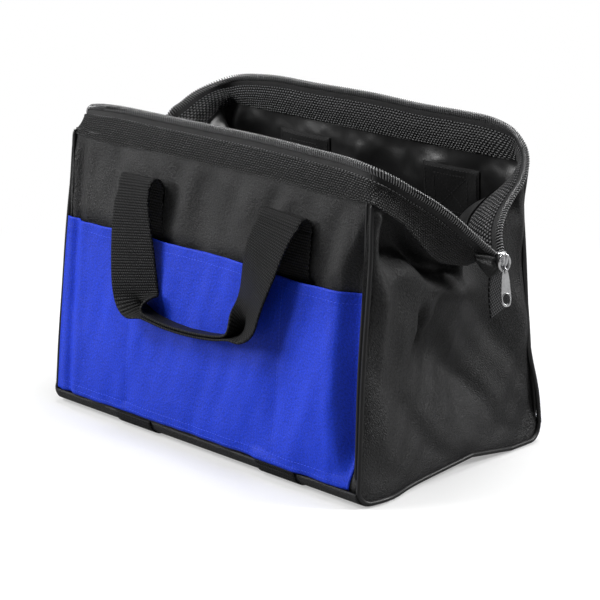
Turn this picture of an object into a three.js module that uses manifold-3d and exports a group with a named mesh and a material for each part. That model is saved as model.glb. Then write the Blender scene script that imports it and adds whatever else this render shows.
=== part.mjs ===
// A zippered tool bag, standing on its base with its mouth open.
// Millimetres, +Z up, +X along the bag's length, the front wall towards -Y.
// The origin is the middle of the base's underside.
import * as THREE from "three";
import { mergeVertices } from "three/addons/utils/BufferGeometryUtils.js";
import Module from "manifold-3d";

// Cloth, webbing and clearances
const CLOTH = 1.2;
const SEAM_GAP = 0.3;
const WEBBING_WIDTH = 38;
const WEBBING_THICKNESS = 1.8;

// How far a cutter runs past what it cuts, and joined pieces into each other
const CUT_REACH = 1;
const JOIN_LAP = 0.1;

// Base
const BASE_RIM = 2.5;
const BASE_THICKNESS = 3;
const BOARD_THICKNESS = 2.5;
const BOARD_MARGIN = 6;

// Walls
const WALL_HALF_SPACING = 97;
const WALL_HEIGHT = 214;
const FRONT_LEAN = 5.6;
const REAR_LEAN = 4.4;
const FRONT_HALF_LENGTH = 155.7;
const CLOSED_LEAN = 23.8;

// How far the wall's cloth swells out above the pocket, between the straps and the corners, and
// the width of the slope round each swell
const SWELL = 3;
const SWELL_SLOPE = 9;

// End panels and gussets
const LAYER_GAP = 1;
const GUSSET_REACH = 172;
const GUSSET_TOP_WIDTH = 6;
const GUSSET_LAP = 2;
const END_PANEL_TOP = 160;
const END_PANEL_SETBACK = 0.5;

// Pockets
const POCKET_HALF_LENGTH = 153;
const POCKET_BOTTOM = 8;
const POCKET_TOP = 148;
const POCKET_DEPTH = 7.6;
const POCKET_DIVIDERS = [-80, 80];
const DIVIDER_WIDTH = 2;

// Straps, patches and handles
const STRAP_CENTRES = [-71, 84];
const STRAP_FOOT = 2;
const ANCHOR_HEIGHT = 194;
const PATCH_WIDTH = 55;
const PATCH_HEIGHT = 43;
const PATCH_RISE = 6;
const PATCH_THICKNESS = 1.2;
const HANDLE_STANDOFF = 4;
const HANDLE_DROP = 92;
const GRIP_CENTRES = [-50, 57];
const HANDLE_STEPS = 6;
const GRIP_HEIGHT = 12;
const GRIP_THICKNESS = 7;

// Piping
const PIPING_RADIUS = 1.8;
const PIPING_SIDES = 8;
const FLANGE_WIDTH = 8;
const FLANGE_THICKNESS = 1;

// Mouth band, stay and zip
const BAND_WIDTH = 17.5;
const BAND_THICKNESS = 4.2;
const ARM_BAND_THICKNESS = 2.6;
const STAY_HEIGHT = 12;
const STAY_THICKNESS = 1.5;
const STAY_MARGIN = 8;
const TAPE_WIDTH = 5.5;
const TAPE_THICKNESS = 0.9;
const COIL_WIDTH = 4;
const COIL_THICKNESS = 2.8;
const BAND_HALF_LENGTH = 164.8;

// End arms of the mouth: how far the zip's end stands out past the corners, its place,
// and how the coil line and the band's lower edge crown or sag off a straight line
const ARM_STEPS = 10;
const ZIP_END_STANDOUT = 29;
const ZIP_END_OFFSET = 17;
const ZIP_END_HEIGHT = 163;
const BAND_END_DROP = 13;
const BAND_END_INSET = 26;
const ARM_HALF_GAP = 6;
const FRONT_COIL_CROWN = [2.5, 2, 12];
const FRONT_EDGE_SAG = [0, 0, -12];
const REAR_COIL_CROWN = [4, 0, 4];
const REAR_EDGE_SAG = [0, 0, -3];

// Slider, pull and the webbing tabs at the zip's ends
const SLIDER_WIDTH = 9;
const SLIDER_HEIGHT = 12;
const SLIDER_THICKNESS = 5;
const BRIDGE_RISE = 4.2;
const BRIDGE_WIDTH = 3;
const BRIDGE_BAR = 1.2;
const RING_WIRE = 1.6;
const RING_WIDTH = 8.4;
const RING_HEIGHT = 13;
const RING_CORNER = 2.4;
const PULL_LENGTH = 30;
const PULL_WIDTH = 7;
const PULL_THICKNESS = 1.6;
const PULL_HEAD_WIDTH = 3.4;
const PULL_HEAD_WALL = 1;
const PULL_CORNER = 2.3;
const PULL_NARROWING = 0.35;
const PULL_HOLE_WIDTH = 4.4;
const PULL_HOLE_LENGTH = 6;
const PULL_HOLE_RISE = 5.6;
const CORNER_STEPS = 4;
const END_TAB_WIDTH = 14;
const END_TAB_HEIGHT = 40;
const END_TAB_THICKNESS = 3;
const END_TAB_RISE = 1;
const PIN_GAP = 0.4;

const wasm = await Module();
wasm.setup();

const finish = (color, roughness, metalness = 0) => ({ color, roughness, metalness });
const FINISHES = {
  blackCloth: finish(0x1c1c1e, 0.75),
  blueCloth: finish(0x2b46d2, 0.75),
  webbing: finish(0x141415, 0.85),
  band: finish(0x202022, 0.85),
  piping: finish(0x101011, 0.5),
  tape: finish(0x18181a, 0.8),
  coil: finish(0x3a3b3d, 0.4),
  board: finish(0x3b3a38, 0.7),
  steel: finish(0xa9abae, 0.35, 1),
  zipMetal: finish(0x8d9094, 0.3, 1),
};

const bag = new THREE.Group();

function addPart(group, name, geometry, finishName) {
  const mesh = new THREE.Mesh(geometry, new THREE.MeshStandardMaterial(FINISHES[finishName]));
  mesh.name = name;
  group.add(mesh);
  return mesh;
}

// A box given by its lowest and highest corners.
function boxBetween(low, high) {
  const size = high.map((v, i) => v - low[i]);
  const geometry = new THREE.BoxGeometry(...size);
  return geometry.translate(...low.map((v, i) => v + size[i] / 2));
}

// An outline in Y and Z, extruded along X from x0 to x1.
function plateAlongX(points, x0, x1) {
  const shape = new THREE.Shape(points.map(([y, z]) => new THREE.Vector2(y, z)));
  const geometry = new THREE.ExtrudeGeometry(shape, { depth: x1 - x0, bevelEnabled: false });
  const turn = new THREE.Matrix4().makeBasis(
    new THREE.Vector3(0, 1, 0),
    new THREE.Vector3(0, 0, 1),
    new THREE.Vector3(1, 0, 0),
  );
  return geometry.applyMatrix4(turn).translate(x0, 0, 0);
}

function solidOf(geometry) {
  const bare = geometry.index ? geometry.toNonIndexed() : geometry.clone();
  bare.deleteAttribute("normal");
  bare.deleteAttribute("uv");
  const merged = mergeVertices(bare, 1e-4);
  return new wasm.Manifold(
    new wasm.Mesh({
      numProp: 3,
      vertProperties: merged.attributes.position.array,
      triVerts: new Uint32Array(merged.index.array),
    }),
  );
}

function geometryOf(solid) {
  const mesh = solid.getMesh();
  const geometry = new THREE.BufferGeometry();
  geometry.setAttribute("position", new THREE.BufferAttribute(mesh.vertProperties, 3));
  geometry.setIndex(new THREE.BufferAttribute(mesh.triVerts, 1));
  return geometry;
}

const joined = (geometries) => geometryOf(geometries.map(solidOf).reduce((a, b) => a.add(b)));
const cut = (geometry, tools) =>
  geometryOf(tools.map(solidOf).reduce((a, b) => a.subtract(b), solidOf(geometry)));

// A sheet of even thickness about a surface given as a function of two parameters, 0 to 1 each.
function thickSheet(surface, thickness, stepsU, stepsV) {
  const positions = [];
  const nudge = 1e-3;
  const layers = [0.5, -0.5];
  for (const layer of layers) {
    for (let i = 0; i <= stepsU; i++) {
      for (let j = 0; j <= stepsV; j++) {
        const [u, v] = [i / stepsU, j / stepsV];
        const along = surface(Math.min(u + nudge, 1), v).sub(surface(Math.max(u - nudge, 0), v));
        const across = surface(u, Math.min(v + nudge, 1)).sub(surface(u, Math.max(v - nudge, 0)));
        const normal = along.cross(across).normalize();
        positions.push(...surface(u, v).addScaledVector(normal, layer * thickness).toArray());
      }
    }
  }
  const row = stepsV + 1;
  const layerSize = (stepsU + 1) * row;
  const index = [];
  const quad = (a, b, c, d) => index.push(a, b, c, a, c, d);
  for (let i = 0; i < stepsU; i++) {
    for (let j = 0; j < stepsV; j++) {
      const a = i * row + j;
      quad(a, a + row, a + row + 1, a + 1);
      quad(layerSize + a + 1, layerSize + a + row + 1, layerSize + a + row, layerSize + a);
    }
  }
  const edge = [];
  for (let i = 0; i < stepsU; i++) edge.push(i * row);
  for (let j = 0; j < stepsV; j++) edge.push(stepsU * row + j);
  for (let i = stepsU; i > 0; i--) edge.push(i * row + stepsV);
  for (let j = stepsV; j > 0; j--) edge.push(j);
  edge.forEach((a, n) => {
    const b = edge[(n + 1) % edge.length];
    quad(b, a, layerSize + a, layerSize + b);
  });
  const geometry = new THREE.BufferGeometry();
  geometry.setAttribute("position", new THREE.Float32BufferAttribute(positions, 3));
  geometry.setIndex(index);
  return geometry;
}

// Heights and half lengths that several pieces share
const WALL_FOOT = BASE_THICKNESS + SEAM_GAP;
const FRONT_GUSSET_X = FRONT_HALF_LENGTH + SEAM_GAP;
const REAR_HALF_LENGTH = FRONT_GUSSET_X + CLOTH + LAYER_GAP - SEAM_GAP;
const REAR_GUSSET_X = REAR_HALF_LENGTH + SEAM_GAP;
const END_PANEL_X = REAR_GUSSET_X + CLOTH + SEAM_GAP;
const PIPING_X = END_PANEL_X + CLOTH + SEAM_GAP + PIPING_RADIUS;
const STRAP_SPACE = SEAM_GAP + WEBBING_THICKNESS + SEAM_GAP;
const BAND_FOOT = WALL_HEIGHT + SEAM_GAP;
const BAND_TOP = BAND_FOOT + BAND_WIDTH;
const TAPE_TOP = BAND_TOP + SEAM_GAP + TAPE_WIDTH;
const COIL_TOP = TAPE_TOP + SEAM_GAP + COIL_WIDTH;
const ARM_X = BAND_HALF_LENGTH + SEAM_GAP + (BAND_THICKNESS - SEAM_GAP) / 2;
const ZIP_END_X = ARM_X + ZIP_END_STANDOUT;
const RING_X = ZIP_END_X + SLIDER_THICKNESS / 2 + PIN_GAP + RING_WIRE / 2;
const RING_TOP = ZIP_END_HEIGHT + SLIDER_HEIGHT / 2 - 2 * BRIDGE_BAR - PIN_GAP;

const radians = (degrees) => (degrees * Math.PI) / 180;

function makeBase() {
  const half = [END_PANEL_X + CLOTH, WALL_HALF_SPACING + BASE_RIM];
  const panel = boxBetween([-half[0], -half[1], 0], [half[0], half[1], BASE_THICKNESS]);
  const channels = STRAP_CENTRES.map((x) =>
    boxBetween(
      [x - WEBBING_WIDTH / 2 - SEAM_GAP, -half[1] - CUT_REACH, -CUT_REACH],
      [x + WEBBING_WIDTH / 2 + SEAM_GAP, half[1] + CUT_REACH, WEBBING_THICKNESS + SEAM_GAP],
    ),
  );
  addPart(bag, "base_panel", cut(panel, channels), "blackCloth");
  ["left", "right"].forEach((side, n) => {
    const x = STRAP_CENTRES[n];
    const strap = boxBetween(
      [x - WEBBING_WIDTH / 2, -half[1], 0],
      [x + WEBBING_WIDTH / 2, half[1], WEBBING_THICKNESS],
    );
    addPart(bag, side + "_base_strap", strap, "webbing");
  });
  const boardX = FRONT_HALF_LENGTH - BOARD_MARGIN;
  const boardY = WALL_HALF_SPACING - BOARD_MARGIN;
  const board = boxBetween(
    [-boardX, -boardY, WALL_FOOT],
    [boardX, boardY, WALL_FOOT + BOARD_THICKNESS],
  );
  addPart(bag, "base_board", board, "board");
}

// The end panel stands on the base and fills what stays clear of both walls when the mouth is closed.
function makeEndPanel(side, sign) {
  const slope = Math.tan(radians(CLOSED_LEAN));
  const foot = WALL_HALF_SPACING - END_PANEL_SETBACK;
  const topHalf = foot - slope * (END_PANEL_TOP - WALL_FOOT);
  const outline = [
    [-foot, WALL_FOOT],
    [foot, WALL_FOOT],
    [topHalf, END_PANEL_TOP],
    [-topHalf, END_PANEL_TOP],
  ];
  const x0 = sign > 0 ? END_PANEL_X : -END_PANEL_X - CLOTH;
  addPart(bag, side + "_end_panel", plateAlongX(outline, x0, x0 + CLOTH), "blackCloth");
  const rod = new THREE.CylinderGeometry(PIPING_RADIUS, PIPING_RADIUS, 2 * foot, PIPING_SIDES);
  rod.translate(sign * PIPING_X, 0, PIPING_RADIUS + BASE_THICKNESS / 4);
  addPart(bag, side + "_base_piping", rod, "piping");
}

// One long side of the bag, in its own upright frame: inner face at y = 0, outside towards -y.
// sideOf gives the side's name for local -x and +x, and the centres of straps and grip ends go
// the same way.
function makeWall(label, lean, panelHalf, gussetX, centres, sideOf, sideGroup) {
  const wall = new THREE.Group();
  wall.position.z = WALL_FOOT;
  wall.rotation.x = -radians(lean);
  sideGroup.add(wall);

  addPart(wall, label + "_panel", swollenPanel(panelHalf, centres.straps), "blackCloth");
  makePocket(wall, label, centres.straps);
  makeBandRun(wall, label);
  [-1, 1].forEach((sign, n) => {
    const side = label + "_" + sideOf[n];
    makeStrap(wall, side, centres.straps[n]);
    makeGusset(wall, side, sign, gussetX, lean);
    makeCornerPiping(wall, side, sign);
  });
  makeHandle(wall, label, centres);
}

// A wall's cloth: flat behind the pocket, the straps and the piping's flanges, and swollen out
// between them.
function swollenPanel(half, strapCentres) {
  const strapHalf = WEBBING_WIDTH / 2 + SEAM_GAP;
  const cornerFlat = PIPING_X - PIPING_RADIUS - FLANGE_WIDTH - SEAM_GAP;
  const flats = [
    [-half, -cornerFlat],
    ...strapCentres.map((x) => [x - strapHalf, x + strapHalf]),
    [cornerFlat, half],
  ];
  const across = flats.flatMap(([from, to], n) => [
    ...(n > 0 ? [[from - SWELL_SLOPE, 1]] : []),
    [from, 0],
    [to, 0],
    ...(n < flats.length - 1 ? [[to + SWELL_SLOPE, 1]] : []),
  ]);
  const slopeFoot = POCKET_TOP + SEAM_GAP;
  const up = [
    [0, 0],
    [slopeFoot, 0],
    [slopeFoot + SWELL_SLOPE, 1],
    [WALL_HEIGHT, 1],
  ];
  const between = (knots, share) => {
    const place = share * (knots.length - 1);
    const n = Math.min(Math.floor(place), knots.length - 2);
    return [0, 1].map((k) => THREE.MathUtils.lerp(knots[n][k], knots[n + 1][k], place - n));
  };
  const surface = (u, v) => {
    const [x, rise] = between(across, u);
    const [z, height] = between(up, v);
    return new THREE.Vector3(x, -CLOTH / 2 - SWELL * rise * height, z);
  };
  return thickSheet(surface, CLOTH, across.length - 1, up.length - 1);
}

function makePocket(wall, label, strapCentres) {
  const back = -CLOTH - SEAM_GAP;
  const inside = -CLOTH - POCKET_DEPTH;
  const half = POCKET_HALF_LENGTH;
  const face = boxBetween([-half, inside - CLOTH, POCKET_BOTTOM], [half, inside, POCKET_TOP]);
  const hem = boxBetween([-half, inside - JOIN_LAP, POCKET_BOTTOM], [half, back, POCKET_BOTTOM + CLOTH]);
  const ribAt = (x0, x1) => boxBetween([x0, inside - JOIN_LAP, POCKET_BOTTOM], [x1, back, POCKET_TOP]);
  const ribs = [
    ribAt(-half, -half + CLOTH),
    ribAt(half - CLOTH, half),
    ...POCKET_DIVIDERS.map((x) => ribAt(x - DIVIDER_WIDTH / 2, x + DIVIDER_WIDTH / 2)),
  ];
  const strapRoom = strapCentres.map((x) =>
    boxBetween(
      [x - WEBBING_WIDTH / 2 - SEAM_GAP, -CLOTH - STRAP_SPACE, POCKET_BOTTOM - CUT_REACH],
      [x + WEBBING_WIDTH / 2 + SEAM_GAP, 0, POCKET_TOP + CUT_REACH],
    ),
  );
  addPart(wall, label + "_pocket_panel", cut(joined([face, hem, ...ribs]), strapRoom), "blueCloth");
}

function makeStrap(wall, side, x) {
  const back = -CLOTH - SEAM_GAP;
  const strap = boxBetween(
    [x - WEBBING_WIDTH / 2, back - WEBBING_THICKNESS, STRAP_FOOT],
    [x + WEBBING_WIDTH / 2, back, ANCHOR_HEIGHT],
  );
  addPart(wall, side + "_strap", strap, "webbing");
  const patch = boxBetween(
    [x - PATCH_WIDTH / 2, SEAM_GAP, ANCHOR_HEIGHT + PATCH_RISE - PATCH_HEIGHT],
    [x + PATCH_WIDTH / 2, SEAM_GAP + PATCH_THICKNESS, ANCHOR_HEIGHT + PATCH_RISE],
  );
  addPart(wall, side + "_patch", patch, "blackCloth");
}

// The part of the end wall that moves with this side: a triangle from the foot of the corner.
function makeGusset(wall, side, sign, gussetX, lean) {
  const spread = radians(CLOSED_LEAN + GUSSET_LAP - lean);
  const tip = [GUSSET_REACH * Math.sin(spread), GUSSET_REACH * Math.cos(spread)];
  const outline = [
    [-CLOTH, 0],
    [0, 0],
    tip,
    [GUSSET_TOP_WIDTH, WALL_HEIGHT],
    [-CLOTH, WALL_HEIGHT],
  ];
  const x0 = sign > 0 ? gussetX : -gussetX - CLOTH;
  addPart(wall, side + "_gusset", plateAlongX(outline, x0, x0 + CLOTH), "blackCloth");
}

function makeCornerPiping(wall, side, sign) {
  const face = -CLOTH - SEAM_GAP;
  const height = WALL_HEIGHT - 2 * SEAM_GAP;
  const cord = new THREE.CylinderGeometry(PIPING_RADIUS, PIPING_RADIUS, height, PIPING_SIDES);
  cord.rotateX(Math.PI / 2);
  cord.translate(sign * PIPING_X, face - FLANGE_THICKNESS / 2, SEAM_GAP + height / 2);
  const edges = [PIPING_X - PIPING_RADIUS - FLANGE_WIDTH, PIPING_X].map((x) => sign * x);
  const flange = boxBetween(
    [Math.min(...edges), face - FLANGE_THICKNESS, SEAM_GAP],
    [Math.max(...edges), face, SEAM_GAP + height],
  );
  addPart(wall, side + "_piping", joined([cord, flange]), "piping");
}

// The long run of the mouth band with its stay, zip tape and coil.
function makeBandRun(wall, label) {
  const middle = -BAND_THICKNESS / 2;
  const runAt = (half, thickness, z0, z1) =>
    boxBetween([-half, middle - thickness / 2, z0], [half, middle + thickness / 2, z1]);
  const half = BAND_HALF_LENGTH;
  const stayFoot = BAND_FOOT + (BAND_WIDTH - STAY_HEIGHT) / 2;
  const sleeve = runAt(
    half + CUT_REACH,
    STAY_THICKNESS + 2 * SEAM_GAP,
    stayFoot - SEAM_GAP,
    stayFoot + STAY_HEIGHT + SEAM_GAP,
  );
  const band = cut(runAt(half, BAND_THICKNESS, BAND_FOOT, BAND_TOP), [sleeve]);
  addPart(wall, label + "_band", band, "band");
  const stay = runAt(half - STAY_MARGIN, STAY_THICKNESS, stayFoot, stayFoot + STAY_HEIGHT);
  addPart(wall, label + "_stay", stay, "steel");
  const tape = runAt(half, TAPE_THICKNESS, BAND_TOP + SEAM_GAP, TAPE_TOP);
  addPart(wall, label + "_zip_tape", tape, "tape");
  const coil = runAt(half, COIL_THICKNESS, TAPE_TOP + SEAM_GAP, COIL_TOP);
  addPart(wall, label + "_zip_coil", coil, "coil");
}

// Handle webbing: two legs that hang from the strap tops and a narrow folded grip between them.
function makeHandle(wall, label, centres) {
  const fold = -CLOTH - STRAP_SPACE - WEBBING_THICKNESS / 2;
  const clear = -CLOTH - POCKET_DEPTH - CLOTH - HANDLE_STANDOFF;
  const foot = ANCHOR_HEIGHT - HANDLE_DROP;
  const legs = centres.straps.map((x, n) => {
    const line = new THREE.CatmullRomCurve3([
      new THREE.Vector3(x, fold, ANCHOR_HEIGHT),
      new THREE.Vector3(x, clear - WEBBING_THICKNESS / 2, POCKET_TOP),
      new THREE.Vector3(centres.grips[n], clear - GRIP_THICKNESS / 2, foot),
    ]);
    const surface = (u, v) => {
      const point = line.getPoint(u);
      point.x += (v - 0.5) * WEBBING_WIDTH;
      return point;
    };
    return thickSheet(surface, WEBBING_THICKNESS, HANDLE_STEPS, 1);
  });
  const grip = boxBetween(
    [centres.grips[0] - WEBBING_WIDTH / 4, clear - GRIP_THICKNESS, foot - GRIP_HEIGHT / 2],
    [centres.grips[1] + WEBBING_WIDTH / 4, clear, foot + GRIP_HEIGHT / 2],
  );
  addPart(wall, label + "_handle", joined([...legs, grip]), "webbing");
}

// A point of a wall's local frame at a corner of the mouth, in the bag's frame. facing is -1 for
// the front wall and 1 for the rear.
function cornerPoint(sign, facing, lean, height, offset) {
  const angle = radians(lean);
  const inward = height * Math.sin(angle) - offset * Math.cos(angle);
  return new THREE.Vector3(
    sign * ARM_X,
    facing * (WALL_HALF_SPACING - inward),
    WALL_FOOT + height * Math.cos(angle) + offset * Math.sin(angle),
  );
}

function crownedLine(start, end, crown, sign) {
  const middle = start.clone().lerp(end, 0.5);
  middle.add(new THREE.Vector3(sign * crown[0], crown[1], crown[2]));
  return new THREE.QuadraticBezierCurve3(start, middle, end);
}

// One end arm of the mouth: coil, tape and band as strips of one surface between the coil line
// and the band's lower edge.
function makeArm(name, sign, facing, lean, coilCrown, edgeSag) {
  const middle = BAND_THICKNESS / 2;
  const coilEnd = new THREE.Vector3(
    sign * (ZIP_END_X - SLIDER_THICKNESS / 2 - COIL_THICKNESS / 2),
    ZIP_END_OFFSET + facing * ARM_HALF_GAP,
    ZIP_END_HEIGHT + SLIDER_HEIGHT / 2 + COIL_WIDTH,
  );
  const edgeEnd = new THREE.Vector3(
    sign * (ZIP_END_X - BAND_END_INSET),
    ZIP_END_OFFSET + (facing - 1) * ARM_HALF_GAP,
    ZIP_END_HEIGHT - BAND_END_DROP / 2,
  );
  const coilCurve = crownedLine(
    cornerPoint(sign, facing, lean, COIL_TOP, middle),
    coilEnd,
    coilCrown,
    sign,
  );
  const edgeCurve = crownedLine(
    cornerPoint(sign, facing, lean, BAND_FOOT, middle),
    edgeEnd,
    edgeSag,
    sign,
  );
  const stripBetween = (near, far, thickness) => {
    const surface = (u, v) => {
      const top = coilCurve.getPoint(u);
      const down = edgeCurve.getPoint(u).sub(top);
      const width = down.length();
      const depth = near + (Math.min(far, width) - near) * v;
      return top.addScaledVector(down, depth / width);
    };
    return thickSheet(surface, thickness, ARM_STEPS, 1);
  };
  const tapeNear = COIL_WIDTH + SEAM_GAP;
  const bandNear = tapeNear + TAPE_WIDTH + SEAM_GAP;
  addPart(bag, name + "_arm_coil", stripBetween(0, COIL_WIDTH, COIL_THICKNESS), "coil");
  const tape = stripBetween(tapeNear, tapeNear + TAPE_WIDTH, TAPE_THICKNESS);
  addPart(bag, name + "_arm_tape", tape, "tape");
  const band = stripBetween(bandNear, Infinity, ARM_BAND_THICKNESS);
  addPart(bag, name + "_arm_band", band, "band");
}

// The webbing tab folded over the ends of the zip tapes.
function makeEndTab(side, sign) {
  const outer = ZIP_END_X - SLIDER_THICKNESS / 2 - SEAM_GAP;
  const xs = [outer - END_TAB_THICKNESS, outer].map((v) => sign * v);
  const top = ZIP_END_HEIGHT + SLIDER_HEIGHT / 2 + END_TAB_RISE;
  const tab = boxBetween(
    [Math.min(...xs), ZIP_END_OFFSET - END_TAB_WIDTH / 2, top - END_TAB_HEIGHT],
    [Math.max(...xs), ZIP_END_OFFSET + END_TAB_WIDTH / 2, top],
  );
  addPart(bag, side + "_zip_end_tab", tab, "webbing");
}

function makeSlider() {
  const [x, y, z] = [ZIP_END_X, ZIP_END_OFFSET, ZIP_END_HEIGHT];
  const half = [SLIDER_THICKNESS / 2, SLIDER_WIDTH / 2, SLIDER_HEIGHT / 2];
  const face = x + half[0];
  const body = boxBetween(
    [x - half[0], y - half[1], z - half[2]],
    [face, y + half[1], z + half[2]],
  );
  const foot = z - half[2] + BRIDGE_BAR;
  const head = z + half[2] - BRIDGE_BAR;
  const bridge = boxBetween(
    [face - BRIDGE_BAR, y - BRIDGE_WIDTH / 2, foot],
    [face + BRIDGE_RISE, y + BRIDGE_WIDTH / 2, head],
  );
  const eye = boxBetween(
    [face, y - BRIDGE_WIDTH, foot + BRIDGE_BAR],
    [face + BRIDGE_RISE - BRIDGE_BAR, y + BRIDGE_WIDTH, head - BRIDGE_BAR],
  );
  addPart(bag, "zip_slider", cut(joined([body, bridge]), [eye]), "zipMetal");
}

// A closed ring of round-cornered outline in Y and Z, hung through the slider's bridge.
function makeRing() {
  const x = RING_X;
  const outer = roundedOutline(RING_WIDTH, RING_HEIGHT, RING_CORNER);
  const inner = roundedOutline(
    RING_WIDTH - 2 * RING_WIRE,
    RING_HEIGHT - 2 * RING_WIRE,
    RING_CORNER - RING_WIRE,
  );
  const plate = plateAlongX(outer, x - RING_WIRE / 2, x + RING_WIRE / 2);
  const hole = plateAlongX(inner, x - RING_WIRE, x + RING_WIRE);
  const ring = cut(plate, [hole]).translate(0, ZIP_END_OFFSET, RING_TOP - RING_HEIGHT / 2);
  addPart(bag, "pull_ring", ring, "zipMetal");
}

function roundedOutline(width, height, corner) {
  const points = [];
  const centres = [
    [width / 2 - corner, height / 2 - corner],
    [corner - width / 2, height / 2 - corner],
    [corner - width / 2, corner - height / 2],
    [width / 2 - corner, corner - height / 2],
  ];
  centres.forEach(([cy, cz], quarter) => {
    for (let n = 0; n <= CORNER_STEPS; n++) {
      const angle = (quarter + n / CORNER_STEPS) * (Math.PI / 2);
      points.push([cy + corner * Math.cos(angle), cz + corner * Math.sin(angle)]);
    }
  });
  return points;
}

// The pull tab hangs from the ring: an eye round the ring's lower bar, then a plate that widens
// downwards and has a hole at its foot.
function makePullTab() {
  const bore = RING_WIRE / 2 + PIN_GAP;
  const rim = bore + PULL_HEAD_WALL;
  const half = PULL_HEAD_WIDTH / 2;
  const head = boxBetween([-rim, -half, -rim], [rim, half, rim]);
  const eye = boxBetween([-bore, -2 * half, -bore], [bore, 2 * half, bore]);
  const outline = roundedOutline(PULL_WIDTH, PULL_LENGTH, PULL_CORNER).map(([y, z]) => {
    const narrowing = PULL_NARROWING * (z / PULL_LENGTH + 1 / 2);
    return [y * (1 - narrowing), z];
  });
  const top = -bore - SEAM_GAP;
  const plate = plateAlongX(outline, -PULL_THICKNESS / 2, PULL_THICKNESS / 2);
  plate.translate(0, 0, top - PULL_LENGTH / 2);
  const hole = plateAlongX(
    roundedOutline(PULL_HOLE_WIDTH, PULL_HOLE_LENGTH, PULL_HOLE_WIDTH / 2 - JOIN_LAP),
    -PULL_THICKNESS,
    PULL_THICKNESS,
  );
  hole.translate(0, 0, top - PULL_LENGTH + PULL_HOLE_RISE);
  const tab = cut(joined([head, plate]), [eye, hole]);
  tab.translate(RING_X, ZIP_END_OFFSET, RING_TOP - RING_HEIGHT + RING_WIRE / 2);
  addPart(bag, "pull_tab", tab, "zipMetal");
}

makeBase();
makeEndPanel("left", -1);
makeEndPanel("right", 1);

const frontSide = new THREE.Group();
frontSide.position.y = -WALL_HALF_SPACING;
bag.add(frontSide);
const frontCentres = { straps: STRAP_CENTRES, grips: GRIP_CENTRES };
const leftToRight = ["left", "right"];
makeWall("front", FRONT_LEAN, FRONT_HALF_LENGTH, FRONT_GUSSET_X, frontCentres, leftToRight, frontSide);

const rearSide = new THREE.Group();
rearSide.position.y = WALL_HALF_SPACING;
rearSide.rotation.z = Math.PI;
bag.add(rearSide);
const turned = (values) => values.map((x) => -x).reverse();
const rearCentres = { straps: turned(STRAP_CENTRES), grips: turned(GRIP_CENTRES) };
const rightToLeft = ["right", "left"];
makeWall("rear", REAR_LEAN, REAR_HALF_LENGTH, REAR_GUSSET_X, rearCentres, rightToLeft, rearSide);

for (const [side, sign] of [["left", -1], ["right", 1]]) {
  makeArm("front_" + side, sign, -1, FRONT_LEAN, FRONT_COIL_CROWN, FRONT_EDGE_SAG);
  makeArm("rear_" + side, sign, 1, REAR_LEAN, REAR_COIL_CROWN, REAR_EDGE_SAG);
  makeEndTab(side, sign);
}
makeSlider();
makeRing();
makePullTab();

export default bag;
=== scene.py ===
"""A zippered tool bag with its mouth open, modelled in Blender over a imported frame.

All points are worked out in millimetres and turned into metres when a mesh is made. The bag's
length runs along X, its front wall faces -Y and Z is up. Heights on a wall are measured up its
slope, and "out" is the distance from the wall's inner face, away from the bag's inside.
"""
import math

import bpy
import numpy as np
from bpy.props import FloatProperty, FloatVectorProperty, PointerProperty
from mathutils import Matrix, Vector


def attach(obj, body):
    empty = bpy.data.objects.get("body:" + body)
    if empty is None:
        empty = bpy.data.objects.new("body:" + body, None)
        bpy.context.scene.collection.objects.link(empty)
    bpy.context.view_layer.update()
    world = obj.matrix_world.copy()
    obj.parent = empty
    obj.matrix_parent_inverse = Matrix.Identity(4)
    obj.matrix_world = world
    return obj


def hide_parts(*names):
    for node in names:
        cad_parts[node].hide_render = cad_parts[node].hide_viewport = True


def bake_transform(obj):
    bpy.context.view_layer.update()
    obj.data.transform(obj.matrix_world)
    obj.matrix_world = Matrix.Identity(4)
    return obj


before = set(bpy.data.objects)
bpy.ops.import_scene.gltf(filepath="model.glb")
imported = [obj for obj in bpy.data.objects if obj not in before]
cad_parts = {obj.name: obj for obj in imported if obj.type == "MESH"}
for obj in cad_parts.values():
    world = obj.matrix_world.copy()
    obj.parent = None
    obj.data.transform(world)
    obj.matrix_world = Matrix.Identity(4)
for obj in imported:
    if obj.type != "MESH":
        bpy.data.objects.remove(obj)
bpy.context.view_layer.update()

bl_info = {
    "name": "Zippered Tool Bag",
    "version": (1, 0, 0),
    "blender": (4, 5, 0),
    "location": "View3D > Sidebar > Tool Bag",
    "description": "Makes a soft tool bag with a wide zippered mouth, and a studio round it",
    "category": "Add Mesh",
}

MM = 0.001

# The walls' hinge line and lean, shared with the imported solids
HALF_SPACING = 97.0
WALL_FOOT = 3.3
LEAN = {"front": math.radians(5.6), "rear": math.radians(4.4)}
FACING = {"front": -1.0, "rear": 1.0}
WALL_HEIGHT = 215.0
SIDES = {"left": -1.0, "right": 1.0}
STRAP_X = {"left": -71.0, "right": 84.0}

# Half the bag's length at the foot and at the top of a wall
HALF_LENGTH_FOOT = 163.5
HALF_LENGTH_TOP = 157.0

# How far the cloth lies from the wall's inner face behind the pocket, where it shows, and at the
# mouth's seam, and the seeds of the walls', the pockets' and the ends' soft folds
SKIN_BEHIND = 1.6
SKIN_SHOWN = {"front": 5.4, "rear": 5.0}
SKIN_TOP = {"front": 5.3, "rear": 6.9}
SKIN_SEEDS = {"front": 11, "rear": 29}
POCKET_SEEDS = {"front": 5, "rear": 17}
END_SEEDS = {"right": 41, "left": 53}

# Grooves in the front wall: x at the seam, x at the foot of the groove, the foot's height, depth
# and half width
GROOVES = [(-104, -112, 160, 1.6, 8.0), (-82, -60, 180, 1.0, 8.0), (-36, -46, 160, 1.8, 8.0),
           (-6, -16, 140, 1.5, 9.0), (28, 20, 165, 1.3, 8.0), (67, 52, 160, 1.8, 7.0),
           (98, 104, 175, 1.2, 7.0), (134, 108, 140, 1.6, 7.0)]

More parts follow.
